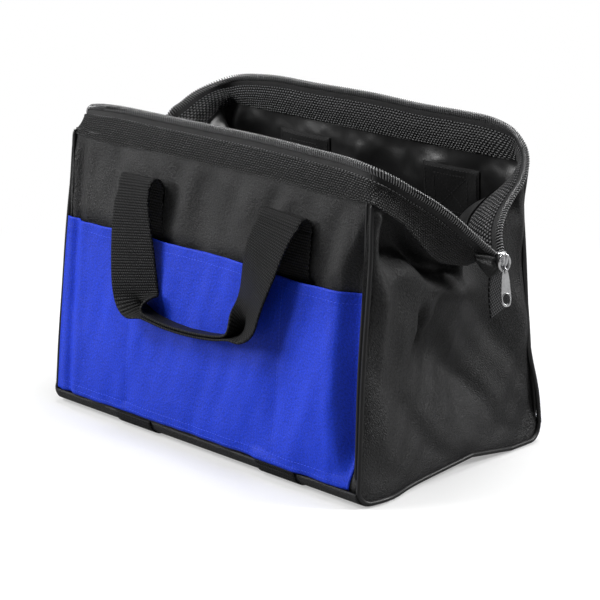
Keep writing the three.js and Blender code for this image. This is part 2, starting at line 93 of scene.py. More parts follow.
# Heights between which the mouth's seam takes hold of a wall's cloth
SEAM_FROM = 196.0
SEAM_HELD = 214.0

# Thickness of the black cloth
CLOTH = 1.1

# Radius of the bend along the base's long edges
BEND_RADIUS = 11.0

# Half the width of the webbing
WEBBING_HALF = 20.0

# The angle to which the base's cloth and straps bend up at the walls
BEND_TURN = math.radians(84)

# Radius of the corner pipings, and the points round a cord or a wire
PIPING_RADIUS = 1.8
CORD_SIDES = 10

# Distance from thread to thread in the plain cloth
THREAD_PITCH = 0.7


# Curves, grids and meshes

def smooth_path(points, count):
    """A Catmull-Rom curve through the points, sampled at evenly spaced parameters."""
    points = np.asarray(points, float)
    padded = np.vstack([2 * points[0] - points[1], points, 2 * points[-1] - points[-2]])
    where = np.linspace(0, len(points) - 1, count)
    at = np.minimum(where.astype(int), len(points) - 2)
    f = (where - at)[:, None]
    p0, p1, p2, p3 = (padded[at + k] for k in range(4))
    return 0.5 * (2 * p1 + (p2 - p0) * f + (2 * p0 - 5 * p1 + 4 * p2 - p3) * f ** 2
                  + (3 * p1 - p0 - 3 * p2 + p3) * f ** 3)


def lengths_along(path):
    """The distance along a path at each of its points."""
    steps = np.linalg.norm(np.diff(path, axis=0), axis=1)
    return np.concatenate([[0.0], np.cumsum(steps)])


def resample(path, count):
    """The same path with evenly spaced points."""
    along = lengths_along(path)
    at = np.linspace(0, along[-1], count)
    return np.stack([np.interp(at, along, path[:, k]) for k in range(3)], -1)


def unit(vectors):
    """Vectors scaled to length one."""
    return vectors / np.maximum(np.linalg.norm(vectors, axis=-1, keepdims=True), 1e-9)


def ripple(a, b, seed, wave_a, wave_b):
    """Soft folds from -1 to 1: a sum of seven plane waves whose wavelengths lie round wave_a and
    wave_b."""
    count = 7
    rng = np.random.default_rng(seed)
    ka = 2 * np.pi / wave_a * rng.uniform(0.5, 1.3, count) * rng.choice([-1, 1], count)
    kb = 2 * np.pi / wave_b * rng.uniform(0.4, 1.3, count)
    phase = rng.uniform(0, 2 * np.pi, count)
    waves = np.sin(a[..., None] * ka + b[..., None] * kb + phase)
    return waves.sum(-1) / math.sqrt(count)


def bump_at(value, middle, width):
    """A bell of height one round middle."""
    return np.exp(-((value - middle) / width) ** 2)


def ease(value, low, high):
    """Rises smoothly from 0 at low to 1 at high."""
    t = np.clip((value - low) / (high - low), 0, 1)
    return t * t * (3 - 2 * t)


def grid_faces(rows, columns, wrap=False):
    """Quads of a grid whose normals are the row direction crossed with the column direction."""
    i = np.arange(rows - 1)[:, None] * columns
    j = np.arange(columns if wrap else columns - 1)[None, :]
    following = (j + 1) % columns
    corners = [i + j, i + columns + j, i + columns + following, i + following]
    return np.stack(np.broadcast_arrays(*corners), -1).reshape(-1, 4)


def make_mesh(name, points, faces, material, pattern=None):
    """A smooth mesh object from points in millimetres. pattern gives each point's place on the
    cloth, in millimetres, and is kept as the UV map named Weave."""
    mesh = bpy.data.meshes.new(name)
    flat = np.ascontiguousarray(np.reshape(points, (-1, 3)) * MM, np.float32)
    faces = np.ascontiguousarray(faces, np.int32)
    starts = np.arange(0, faces.size, faces.shape[1], dtype=np.int32)
    mesh.vertices.add(len(flat))
    mesh.vertices.foreach_set("co", flat.ravel())
    mesh.loops.add(faces.size)
    mesh.loops.foreach_set("vertex_index", faces.ravel())
    mesh.polygons.add(len(faces))
    mesh.polygons.foreach_set("loop_start", starts)
    mesh.polygons.foreach_set("use_smooth", np.ones(len(faces), bool))
    mesh.update(calc_edges=True)
    if pattern is not None:
        layer = mesh.uv_layers.new(name="Weave")
        place = np.reshape(pattern, (-1, 2)).astype(np.float32)
        layer.data.foreach_set("uv", place[faces.ravel()].ravel())
    mesh.materials.append(material)
    piece = bpy.data.objects.new(name, mesh)
    bpy.context.scene.collection.objects.link(piece)
    return piece


def thicken(piece, thickness, offset=-1.0, lining=None, rim=True):
    """Gives a sheet its thickness in millimetres, with another material on its inner face."""
    modifier = piece.modifiers.new("Thickness", "SOLIDIFY")
    modifier.thickness = thickness * MM
    modifier.offset = offset
    modifier.use_even_offset = False
    modifier.use_rim = rim
    if lining is not None:
        piece.data.materials.append(lining)
        modifier.material_offset = 1
    return piece


def make_sheet(name, grid, material, thickness, offset=-1.0, lining=None, pattern=None, rim=True):
    """A sheet over a grid of points. Its pattern follows lengths along the grid's middle lines."""
    rows, columns = grid.shape[:2]
    if pattern is None:
        across = lengths_along(grid[:, columns // 2])
        along = lengths_along(grid[rows // 2])
        pattern = np.stack(np.meshgrid(across, along, indexing="ij"), -1)
    piece = make_mesh(name, grid, grid_faces(rows, columns), material, pattern)
    return thicken(piece, thickness, offset, lining, rim)


def tube(path, radius, sides):
    """Rings of points round a path: radius times cos and sin in the plane square to the path."""
    ahead = unit(np.gradient(path, axis=0))
    unlike_any_path = np.array([0.13, 0.21, 0.97])
    side = unit(np.cross(ahead, unlike_any_path))
    other = np.cross(side, ahead)
    angle = np.linspace(0, 2 * np.pi, sides, endpoint=False)[None, :, None]
    rim = np.cos(angle) * side[:, None] + np.sin(angle) * other[:, None]
    return path[:, None] + np.reshape(radius, (-1, 1, 1)) * rim


def make_cord(name, path, radius, material):
    """A round cord along a path, closed with a small dome at each end."""
    radii = np.full(len(path), float(radius))
    dome = np.array([0.05, 0.6, 0.9])
    radii[:3] *= dome
    radii[-3:] *= dome[::-1]
    rings = tube(path, radii, CORD_SIDES)
    round_it = np.linspace(0, 2 * np.pi * radius, CORD_SIDES)
    pattern = np.stack(np.meshgrid(lengths_along(path), round_it, indexing="ij"), -1)
    faces = grid_faces(len(path), CORD_SIDES, wrap=True)[:, ::-1]
    return make_mesh(name, rings, faces, material, pattern)


def wall_points(facing, x, height, out):
    """Points of a leaning wall. y = half spacing - height sin(lean) + out cos(lean), towards the
    wall's own side, and z = foot + height cos(lean) + out sin(lean)."""
    a = LEAN[facing]
    x, height, out = np.broadcast_arrays(x, height, out)
    y = HALF_SPACING - height * math.sin(a) + out * math.cos(a)
    z = WALL_FOOT + height * math.cos(a) + out * math.sin(a)
    return np.stack([x, FACING[facing] * y, z], -1)


def half_length(height):
    """Half the wall's length at a height: it narrows evenly upwards."""
    return HALF_LENGTH_FOOT + (HALF_LENGTH_TOP - HALF_LENGTH_FOOT) * height / WALL_HEIGHT


def corner_out(facing, height):
    """How far the corner's piping stands out: the front's bows out a little in the middle, the
    rear's is drawn in above the foot."""
    if facing == "front":
        bow = np.sin(np.pi * np.clip(height / 205, 0, 1)) ** 0.8
        return 2.2 + 2.3 * bow + 2.2 * ease(height, 170, 216)
    return 4.2 - 5.4 * ease(height, 18, 85) + 8.4 * ease(height, 178, 216)


def edge_bend(height):
    """How far the cloth draws in as the wall bends round into the base: a circle's profile."""
    low = np.clip(BEND_RADIUS - height, 0, BEND_RADIUS)
    return BEND_RADIUS - np.sqrt(BEND_RADIUS ** 2 - low ** 2)


def corner_fall(facing, x, height):
    """A long hollow in the front wall beside its right corner. It starts at a point under the band
    and widens downwards, its far slope turns away from the light, and a low ridge lies past it."""
    if facing == "rear":
        return 0 * x * height
    from_corner = half_length(height) - x
    down = WALL_HEIGHT - height
    wide = 7 + 19 * ease(down, 0, 66) - 5 * ease(down, 110, 200)
    depth = 8.5 * ease(down, 2, 50) * ease(height, 6, 40)
    near_slope = ease(from_corner, -2, 0.45 * wide)
    far_slope = 1 - ease(from_corner, 0.4 * wide, wide)
    return depth * near_slope * far_slope - 0.12 * depth * bump_at(from_corner, wide + 4, 6)


def skin_out(facing, x, height):
    """How far the wall's cloth stands out: close in behind the pocket and fuller above and below
    it, rounding back to the corners, with a groove near each end and grooves that hang from the
    band's seam."""
    from_corner = np.maximum(half_length(height) - np.abs(x), 0)
    shown = np.maximum(ease(height, 138, 160), 1 - ease(height, 12, 30))
    held = ease(height, SEAM_FROM, SEAM_HELD)
    middle = SKIN_BEHIND + (SKIN_SHOWN[facing] - SKIN_BEHIND) * shown
    middle = middle + (SKIN_TOP[facing] - middle) * held
    corner = corner_out(facing, height) - 0.6
    out = middle + (corner - middle) * np.exp(-(from_corner / 14.0) ** 1.8)
    free = 1 - 0.85 * held
    if facing == "front":
        for top, foot, low, depth, width in GROOVES:
            middle_x = top + (foot - top) * (WALL_HEIGHT - height) / (WALL_HEIGHT - low)
            deep = depth * ease(height, low - 20, low + 25) * (1 - 0.8 * ease(height, 200, 216))
            beside = bump_at(x, middle_x + 1.9 * width, width)
            out = out - deep * bump_at(x, middle_x, width) + 0.6 * deep * beside
    out = out - side_grooves(x) * free - corner_fall(facing, x, height) - edge_bend(height)
    seed = SKIN_SEEDS[facing]
    broad = 1.1 * ripple(x, height, seed, 60, 150) * shown
    return out + free * (broad + 0.16 * ripple(x, height, seed + 1, 24, 34))


def side_grooves(x):
    """An upright groove beside the left corner, with a ridge on each side, and a shallower groove
    by the right corner."""
    ridges = 0.9 * bump_at(x, -138.5, 5.0) + 0.8 * bump_at(x, -156.0, 4.0)
    return 2.6 * bump_at(x, -147.0, 3.8) - ridges + 0.5 * bump_at(x, 141.0, 4.0)


# Materials

class Shader:
    """One node material: a Principled surface with helpers that add and join nodes."""

    def __init__(self, name, color, roughness, metallic=0.0, specular=0.5):
        self.material = bpy.data.materials.new(name)
        self.material.use_nodes = True
        self.tree = self.material.node_tree
        self.tree.nodes.clear()
        self.surface = self.tree.nodes.new("ShaderNodeBsdfPrincipled")
        self.output = self.tree.nodes.new("ShaderNodeOutputMaterial")
        self.tree.links.new(self.surface.outputs["BSDF"], self.output.inputs["Surface"])
        self.color = color
        self.surface.inputs["Base Color"].default_value = (*color, 1)
        self.surface.inputs["Roughness"].default_value = roughness
        self.surface.inputs["Metallic"].default_value = metallic
        self.surface.inputs["Specular IOR Level"].default_value = specular
        self.normal = None

    def put(self, socket, value):
        """Joins a socket to another node's output, or sets it to a number."""
        if hasattr(value, "is_linked"):
            self.tree.links.new(value, socket)
        else:
            socket.default_value = value

    def math(self, operation, *values):
        """A sum worked out by one Math node."""
        node = self.tree.nodes.new("ShaderNodeMath")
        node.operation = operation
        for socket, value in zip(node.inputs, values):
            self.put(socket, value)
        return node.outputs[0]

    def add_up(self, first, first_share, second, second_share):
        """Two values added up, each times its share."""
        return self.math("ADD", self.math("MULTIPLY", first, first_share),
                         self.math("MULTIPLY", second, second_share))

    def weave_place(self):
        """The two places on the cloth, in millimetres."""
        place = self.tree.nodes.new("ShaderNodeUVMap")
        place.uv_map = "Weave"
        parts = self.tree.nodes.new("ShaderNodeSeparateXYZ")
        self.put(parts.inputs[0], place.outputs[0])
        return parts.outputs[0], parts.outputs[1]

    def place_from(self, u, v):
        """A point made of two places."""
        point = self.tree.nodes.new("ShaderNodeCombineXYZ")
        self.put(point.inputs[0], u)
        self.put(point.inputs[1], v)
        return point.outputs[0]

    def object_place(self):
        """The place in the bag's own space, in metres."""
        return self.tree.nodes.new("ShaderNodeTexCoord").outputs["Object"]

    def noise(self, scale, detail=2.0, roughness=0.5, place=None, stretch=None):
        """Cloudy noise from 0 to 1 over the bag's own space, or over another place that may be
        stretched first."""
        node = self.tree.nodes.new("ShaderNodeTexNoise")
        place = place or self.object_place()
        if stretch:
            mapping = self.tree.nodes.new("ShaderNodeMapping")
            mapping.inputs["Scale"].default_value = stretch
            self.put(mapping.inputs["Vector"], place)
            place = mapping.outputs[0]
        self.put(node.inputs["Vector"], place)
        node.inputs["Scale"].default_value = scale
        node.inputs["Detail"].default_value = detail
        node.inputs["Roughness"].default_value = roughness
        return node.outputs["Fac"]

    def wave(self, place, pitch, power=1.0):
        """Ridges: the size of a sine of that pitch, from 0 to 1."""
        turn = self.math("MULTIPLY", place, math.pi / pitch)
        ridge = self.math("ABSOLUTE", self.math("SINE", turn))
        return self.math("POWER", ridge, power) if power != 1.0 else ridge

    def tint(self, factor, low, high, low_at=0.3, high_at=0.7):
        """Base colour between low and high shares of the material's own colour."""
        ramp = self.tree.nodes.new("ShaderNodeValToRGB")
        self.put(ramp.inputs[0], factor)
        for element, at, share in zip(ramp.color_ramp.elements, (low_at, high_at), (low, high)):
            element.position = at
            element.color = (*(min(1.0, c * share) for c in self.color), 1)
        self.put(self.surface.inputs["Base Color"], ramp.outputs[0])

    def polish(self, factor, low, high):
        """Roughness between low and high as the factor goes from 0 to 1."""
        node = self.tree.nodes.new("ShaderNodeMapRange")
        self.put(node.inputs[0], factor)
        node.inputs["To Min"].default_value = low
        node.inputs["To Max"].default_value = high
        self.put(self.surface.inputs["Roughness"], node.outputs[0])

    def relief(self, height, distance, strength=1.0):
        """Adds a bump of that depth in millimetres on top of the earlier ones."""
        node = self.tree.nodes.new("ShaderNodeBump")
        node.inputs["Strength"].default_value = strength
        node.inputs["Distance"].default_value = distance * MM
        self.put(node.inputs["Height"], height)
        if self.normal:
            self.put(node.inputs["Normal"], self.normal)
        self.normal = node.outputs[0]
        self.put(self.surface.inputs["Normal"], self.normal)


def plain_weave(shader, depth):
    """Threads over and under: two sets of ridges, with short thick and thin stretches of thread
    that lean to one side. Returns the threads' unevenness."""
    u, v = shader.weave_place()
    threads = shader.math("MULTIPLY", shader.wave(u, THREAD_PITCH), shader.wave(v, THREAD_PITCH))
    lean = shader.place_from(shader.math("ADD", u, v), shader.math("SUBTRACT", u, v))
    slubs = shader.noise(1, 1, 0.5, lean, (0.85, 0.38, 1))
    grain = shader.add_up(slubs, 0.6, shader.noise(900, 2, 0.6), 0.4)
    shader.relief(shader.add_up(threads, 0.5, grain, 4.0), depth)
    return grain


def cloth_material(name, color, roughness, specular, contrast, crumple, depth=0.22, wide=30):
    """Coated woven cloth: fine weave, uneven tone and soft crumples. contrast is the tone's share
    above and below the colour, crumple and depth are the crumples' and the weave's relief in
    millimetres, and a smaller wide makes wider crumples."""
    shader = Shader(name, color, roughness, specular=specular)
    shader.relief(shader.noise(wide, 3, 0.5), crumple, 0.5)
    grain = plain_weave(shader, depth)
    tone = shader.add_up(grain, 0.85, shader.noise(9, 2), 0.15)
    shader.tint(tone, 1 - contrast, 1 + contrast, 0.42, 0.58)
    shader.polish(grain, roughness + 0.12, roughness - 0.12)
    return shader.material


def band_material(name, shade, depth, pale, length, row_width):
    """Coarse webbing: short floats like bricks, each row half a float along from the last. pale is
    how many times as bright as the shade a float's top is painted, a painted highlight, and the
    gaps between the floats are painted near black, painted shade."""
    shader = Shader(name, (shade, shade, 1.02 * shade), 0.42, specular=0.45)
    u, v = shader.weave_place()
    waver = shader.math("MULTIPLY", shader.noise(120, 2), 1.2)
    across = shader.math("ADD", v, waver)
    row = shader.math("FLOOR", shader.math("DIVIDE", across, row_width))
    shifted = shader.math("MULTIPLY", row, length / 2)
    along = shader.math("ADD", shader.math("ADD", u, waver), shifted)
    floats = shader.math("MULTIPLY", shader.wave(along, length, 0.7), shader.wave(across, row_width, 0.7))
    shader.relief(floats, depth)
    shader.relief(shader.noise(700, 2), 0.12)
    # Painted light: floats' tops painted pale times as bright as a highlight, gaps 0.03 times as shade
    shader.tint(floats, 0.03, pale, 0.30, 1.0)
    return shader.material


def webbing_material(name, shade):
    """Ribbed carrying webbing: cross ribs, each a row of short threads like beads. The beads' tops
    are painted bright, a painted highlight, and the hollows near black, painted shade.
    """
    rib, bead = 2.1, 1.8
    shader = Shader(name, (shade, shade, 1.05 * shade), 0.55, specular=0.22)
    u, v = shader.weave_place()
    row = shader.math("FLOOR", shader.math("DIVIDE", u, rib))
    along = shader.math("ADD", v, shader.math("MULTIPLY", row, bead / 2))
    beads = shader.math("ADD", shader.math("MULTIPLY", shader.wave(along, bead), 0.75), 0.25)
    height = shader.math("MULTIPLY", shader.wave(u, rib, 0.8), beads)
    shader.relief(height, 0.7)
    shader.relief(shader.noise(900, 3, 0.7), 0.12)
    # Painted light: colour follows the relief, beads' tops 5.5 times as bright (highlight), hollows 0.15
    # times (shade)
    shader.tint(height, 0.15, 5.5, 0.30, 1.0)
    return shader.material


def tape_material():
    """Fine zip tape with faint ribs along its length."""
    shader = Shader("zip_tape", (0.014, 0.014, 0.0145), 0.55, specular=0.3)
    u, v = shader.weave_place()
    shader.relief(shader.math("MULTIPLY", shader.wave(v, 0.9), shader.wave(u, 0.7)), 0.1)
    shader.tint(shader.noise(220, 3), 0.8, 1.25)
    return shader.material


def smooth_material(name, color, roughness, specular=0.5, metallic=0.0):
    """Moulded plastic, cord cover, thread or plated metal with uneven polish and a fine relief."""
    shader = Shader(name, color, roughness, metallic, specular)
    clouds = shader.noise(160, 4, 0.6)
    shader.polish(clouds, max(0.05, roughness - 0.08), roughness + 0.12)
    shader.tint(clouds, 0.85, 1.15)
    shader.relief(shader.noise(600, 3), 0.03)
    return shader.material


def make_materials(look):
    """Every material by its name."""
    black = tuple(look.black_cloth)
    dark = tuple(0.36 * c for c in black)
    matte = tuple(0.5 * c for c in black)
    blue = tuple(look.blue_cloth)
    return {
        "black_cloth": cloth_material("black_cloth", black, 0.46, 0.32, contrast=0.6, crumple=2.4),
        "lining": cloth_material("lining", dark, 0.34, 0.6, contrast=0.1, crumple=18.0,
                                 depth=0.02, wide=13),
        "patch_cloth": cloth_material("patch_cloth", matte, 0.6, 0.15, contrast=0.3, crumple=3.0,
                                      depth=0.1),
        "blue_cloth": cloth_material("blue_cloth", blue, 0.52, 0.24, contrast=0.2, crumple=2.2,
                                     depth=0.14),
        # pale=3.2 paints the band's float tops bright: a painted highlight
        "band_webbing": band_material("band_webbing", 0.054, 2.6, pale=3.2, length=3.0, row_width=1.9),
        # The band's inner face: a darker, flatter copy of the band's webbing, painted shade inside the
        # mouth
        "band_inside_painted_shade": band_material("band_inside_painted_shade", 0.010, 0.8, pale=1.3, length=2.6, row_width=1.75),
        "strap_webbing": webbing_material("strap_webbing", 0.0045),
        "tab_webbing": webbing_material("tab_webbing", 0.018),
        "zip_tape": tape_material(),
        "zip_coil": smooth_material("zip_coil", (0.13, 0.13, 0.132), 0.22, 1.0),
        "piping": smooth_material("piping", (0.011, 0.011, 0.0115), 0.42, 0.4),
        # Near black cover between the front right cords: painted shade in the groove between them
        "piping_cover_painted_shade": smooth_material("piping_cover_painted_shade", (0.003, 0.003, 0.003), 0.6, 0.1),
        "zip_metal": smooth_material("zip_metal", (0.70, 0.70, 0.71), 0.26, metallic=1.0),
        "blue_thread": smooth_material("blue_thread", (0.05, 0.11, 0.80), 0.6, 0.3),
        "black_thread": smooth_material("black_thread", (0.016, 0.016, 0.0165), 0.6, 0.3),
    }


MATERIALS = {}


def finish_piece(piece, slot, stands_for=(), body=None, bend=None):
    """Hides the solids that a piece stands for and hangs a piece without a bend on the body it moves
    with. slot is not used.
    bend is (body a, body b, start, end), the points in millimetres; a piece given one only has its
    transform baked in, and hangs on no body."""
    if stands_for:
        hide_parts(*stands_for)
    if bend:
        first, second, start, end = bend
        start, end = (tuple(c * MM for c in point) for point in (start, end))
        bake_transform(piece)
    else:
        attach(piece, body)


# Stitches

def stitch_rows(name, rows, material, width=0.5):
    """Short raised stitches along rows. Each row is (points, outward directions); a stitch is a
    spindle of three rings of five points, fattest at its middle."""
    pitch, length = 3.0, 2.1
    share = np.array([0.0, 0.5, 1.0])
    fat = np.array([0.35, 1.0, 0.35])
    sides = 5
    angle = np.linspace(0, 2 * np.pi, sides, endpoint=False)[:, None]
    one = grid_faces(len(share), sides, wrap=True)
    step = len(share) * sides
    points, faces = [], []
    count = 0
    for path, outward in rows:
        along = lengths_along(path)
        starts = np.arange(0.3, along[-1] - length, pitch)
        at = starts[:, None] + share[None, :] * length
        middle = np.stack([np.interp(at, along, path[:, k]) for k in range(3)], -1)
        normal = unit(np.stack([np.interp(at, along, outward[:, k]) for k in range(3)], -1))
        ahead = unit(middle[:, 2:3] - middle[:, 0:1])
        side = np.cross(ahead, normal)
        rim = np.cos(angle) * side[:, :, None] + 0.7 * np.sin(angle) * normal[:, :, None]
        rings = middle[:, :, None] + width / 2 * fat[None, :, None, None] * rim
        points.append(rings.reshape(-1, 3))
        offsets = (np.arange(len(starts)) * step + count)[:, None, None]
        faces.append((one[None] + offsets).reshape(-1, 4))
        count += step * len(starts)
    return make_mesh(name, np.vstack(points), np.vstack(faces), material)


def wall_row(facing, x, height, out):
    """A row of stitches on a wall, with the wall's outward direction."""
    path = wall_points(facing, x, height, out)
    a = LEAN[facing]
    outward = np.broadcast_to([0, FACING[facing] * math.cos(a), math.sin(a)], path.shape)
    return path, outward


# Walls and pockets

def make_wall(facing):
    """A long wall: x = u half_length(h), out = skin_out(x, h), for u from -1 to 1 and h up the
    slope, with coated lining on its inner face. The rear one is cut lower at its top corners, where
    the mouth's seam turns down."""
    u = np.linspace(-1, 1, 221)[:, None]
    t = np.linspace(0, 1, 121)[None, :]
    cut = 4.0 * ease(np.abs(u) * HALF_LENGTH_TOP, 144, 157) if facing == "rear" else 0.0
    h = 2.5 + (WALL_HEIGHT + 0.5 - cut) * t
    x = u * half_length(h)
    grid = wall_points(facing, x, h, skin_out(facing, x, h))
    if facing == "rear":
        grid = grid[::-1]
    piece = make_sheet(facing + "_wall_cloth", grid, MATERIALS["black_cloth"], CLOTH,
                       lining=MATERIALS["lining"])
    finish_piece(piece, "black_cloth", [facing + "_panel"], body=facing + "_wall")


# The pocket: its foot and top, the side seams' and dividers' places and the level rows of stitches
POCKET_FOOT = 8.0
POCKET_TOP = 148.9
DIVIDERS = (80.0, -80.0)
ROW_ENDS = (-157.5, 150.5)
HEM_ROW = 141.3
FOOT_ROWS = (16.3, 11.6)


def pocket_margin(height):
    """How far from the wall's right corner the pocket ends."""
    return 8.0 - 1.5 * height / 148.0


def pocket_out(facing, x, height):
    """The pocket cloth: it stands off the wall in the middle, rounds back to its sewn side edges,
    dips a little along the dividers' seams and at the foot, and lies over the straps."""
    margin = np.where(x < 0, 0.6, pocket_margin(height))
    from_side = np.maximum(half_length(height) - margin - np.abs(x), 0)
    seams = np.minimum(*(np.abs(x - divider) for divider in DIVIDERS))
    middle = 8.4 - 1.3 * np.exp(-(seams / 7.0) ** 1.4) - 1.6 * np.exp(-np.maximum(height - 7, 0) / 7.0)
    middle = middle - 0.5 * ease(height, 100, 150)
    edge = corner_out(facing, height) + np.where(x < 0, 1.6, 0.4)
    out = middle + (edge - middle) * np.exp(-(from_side / 13.0) ** 1.7)
    seed = POCKET_SEEDS[facing]
    calm = 1 - np.exp(-from_side / 10.0)
    fine = 0.3 * ripple(x, height, seed + 1, 24, 60)
    out = out + calm * (0.8 * ripple(x, height, seed, 60, 150) + fine)
    out = out - side_grooves(x) * 0.9 - corner_fall(facing, x, height) - edge_bend(height)
    out = np.maximum(out, skin_out(facing, x, height) + 1.0)
    for middle_x in STRAP_X.values():
        over = np.maximum(strap_out(facing, middle_x, height) + 1.1 - out, 0)
        out = out + over * (1 - ease(np.abs(x - middle_x), 18.5, 28.0))
    return out


def make_pocket(facing):
    """The pocket panel: x from the left piping to pocket_margin from the right corner and h from 8
    to about 149, out = pocket_out(x, h), with its top edge a shallow curve, and rows of stitches
    along hems and dividers."""
    u = np.linspace(-1, 1, 221)[:, None]
    t = np.linspace(0, 1, 91)[None, :]
    top = POCKET_TOP + 1.0 * np.cos(np.pi * u * 1.3) + 0.5 * np.sin(9 * u)
    foot = POCKET_FOOT + 1.3 * np.cos(np.pi * u / 2)
    h = foot + (top - foot) * t
    left, right = 0.6 - half_length(h), half_length(h) - pocket_margin(h)
    x = left + (right - left) * (u + 1) / 2
    grid = wall_points(facing, x, h, pocket_out(facing, x, h))
    if facing == "rear":
        grid = grid[::-1]
    piece = make_sheet(facing + "_pocket_cloth", grid, MATERIALS["blue_cloth"], 0.9)
    finish_piece(piece, "blue_cloth", [facing + "_pocket_panel"], body=facing + "_wall")

    def row(x, height):
        """A row of stitches just over the pocket's cloth."""
        x, height = np.broadcast_arrays(x, height)
        return wall_row(facing, x, height, pocket_out(facing, x, height) + 0.12)

    level = np.linspace(*ROW_ENDS, 200)
    upright = np.linspace(10.5, 148, 100)
    half = half_length(upright)
    rows = [row(level, HEM_ROW + np.cos(np.pi * level / 120))]
    rows += [row(level, height) for height in FOOT_ROWS]
    rows += [row(divider, upright) for divider in DIVIDERS]
    rows += [row(half - pocket_margin(upright) - 1.3, upright), row(2.0 - half, upright)]
    stitches = stitch_rows(facing + "_pocket_stitches", rows, MATERIALS["blue_thread"])
    finish_piece(stitches, "blue_cloth", body=facing + "_wall")


# Mouth: band, tape and coil

# Matched points round each side of the mouth, from the zip's left end to its right: the top of the
# coil and the band's lower edge
MOUTH = {
    "front": [
        ((-194, 12.5, 170), (-170, 6, 160)), ((-191.5, 0, 181), (-168.5, -4, 162)),
        ((-188, -17.5, 197), (-168, -24, 167.5)), ((-179, -42, 219), (-167, -48, 190)),
        ((-166, -58, 230.5), (-166, -64, 205)), ((-155, -66, 235.5), (-164, -73, 210)),
        ((-144, -71.5, 239.3), (-158.5, -80, 215.5)), ((-124, -76.5, 243.2), (-132, -81.3, 215.3)),
        ((-100, -78.5, 245.3), (-105, -81.4, 215)), ((-70, -79, 246), (-72, -81.2, 216.8)),
        ((-35, -79, 246.6), (-35, -81, 217)), ((0, -79.3, 247.3), (0, -81, 217.4)),
        ((40, -79.3, 248), (40, -81, 218)), ((75, -79.2, 247.8), (75, -81.2, 218)),
        ((105, -79.2, 247.2), (105, -81.5, 217)), ((132, -80, 247), (132, -81.8, 217.6)),
        ((157, -80, 244.5), (158, -82, 218.4)), ((169, -70, 237.3), (164.5, -71, 209.7)),
        ((176, -57, 227.6), (166, -60, 202.3)), ((180.5, -44, 218.8), (167, -50, 192.5)),
        ((185, -30, 207.8), (168, -37, 178.5)), ((188.3, -17.5, 196.6), (168, -24, 167.8)),
        ((191.5, 0, 180.7), (168.5, -4, 161.5)), ((194, 12.5, 170), (170, 6, 159.5)),
    ],
    "rear": [
        ((-194, 17.5, 170), (-170, 11, 160)), ((-189, 19.5, 180), (-168.5, 20, 163)),
        ((-180, 24, 195), (-167.5, 33, 171.5)), ((-172, 32, 213.5), (-166, 48, 184.5)),
        ((-170.5, 42, 219), (-164.5, 62, 197)), ((-169, 55, 225.5), (-161, 75, 209)),
        ((-165, 68, 230.5), (-152, 86, 215)), ((-157, 79, 235.5), (-146, 87, 214.8)),
        ((-146, 84.5, 239), (-136, 87, 214.8)), ((-128, 85.5, 242), (-122, 87.2, 214.8)),
        ((-100, 86, 244.5), (-100, 87.2, 215)), ((-60, 86, 245), (-60, 87.2, 215.3)),
        ((0, 86, 246.6), (0, 87, 215.6)), ((50, 86, 246), (50, 87, 216.3)),
        ((90, 86, 247), (90, 87, 217)), ((120, 86, 247), (122, 87, 217.6)),
        ((141, 84.5, 243.5), (152, 86.5, 217.5)), ((154, 80, 239.5), (160, 78, 211)),
        ((165, 75, 233.3), (159, 73, 208)), ((174, 67.5, 225), (157, 62, 203)),
        ((179, 58, 214.5), (154, 52, 198.5)), ((180.5, 46, 205), (153, 40, 191.5)),
        ((182.5, 34, 195), (155, 28, 184)), ((187, 24, 184.5), (161, 18, 173)),
        ((193.5, 18, 171.5), (170, 11, 159)),
    ],
}

# The matched points at which the corners are creased, and the steps from one point to the next
CREASES = (6, 16)
MOUTH_STEPS = 18

# Two points at a corner's band, by its arm, handed to finish_piece, which makes no bend with them:
# along X, along Y and up
ARM_BEND_X = 160.0
ARM_BEND_FROM = {"front": 77.5, "rear": 79.0}
ARM_BEND_TO = 61.0
ARM_BEND_HEIGHT = 225.0


def mouth_lines(facing):
    """The coil line and the seam line of one side of the mouth, in even steps between the matched
    points."""
    points = np.array(MOUTH[facing], float)
    count = (len(points) - 1) * MOUTH_STEPS + 1
    return smooth_path(points[:, 0], count), smooth_path(points[:, 1], count)


def stretch_lines(facing, stretch):
    """One stretch of the mouth's lines: the left corner, the long run or the right corner."""
    coil, seam = mouth_lines(facing)
    left, right = (crease * MOUTH_STEPS for crease in CREASES)
    stretches = {"left": slice(0, left + 1), "run": slice(left, right + 1), "right": slice(right, None)}
    part = stretches[stretch]
    return coil[part], seam[part]


def strip_between(coil, seam, near, far, columns, belly):
    """A strip between two matched lines: points run from near to far millimetres below the coil
    line, or to the seam where far is None, and its middle swells outwards by belly."""
    down = seam - coil
    width = np.linalg.norm(down, axis=1, keepdims=True)
    far = width if far is None else np.full_like(width, far)
    share = np.linspace(0, 1, columns)[None, :]
    depth = near + (far - near) * share
    grid = coil[:, None] + (down / width)[:, None] * depth[..., None]
    normal = unit(np.cross(np.gradient(coil, axis=0), down))
    swell = belly * np.sin(np.pi * share) ** 0.8
    return grid + normal[:, None] * swell[..., None], depth


def coil_rings(coil, seam):
    """A flattened helix of nylon: turns of half width 2.7 and half depth 1.4 about a line just
    below the coil's top."""
    pitch, wire_radius, drop = 2.1, 0.56, 2.6
    down = unit(seam - coil)
    middle = coil + drop * down
    along = lengths_along(middle)
    turns = int(along[-1] / pitch)
    at = np.linspace(0, along[-1], turns * 10 + 1)
    centre, across = (np.stack([np.interp(at, along, part[:, k]) for k in range(3)], -1)
                      for part in (middle, down))
    across = unit(across)
    ahead = unit(np.gradient(centre, axis=0))
    normal = np.cross(ahead, across)
    angle = (2 * np.pi * turns * at / along[-1])[:, None]
    wire = centre + 2.7 * np.cos(angle) * across + 1.4 * np.sin(angle) * normal
    return tube(wire, np.full(len(wire), wire_radius), 5)


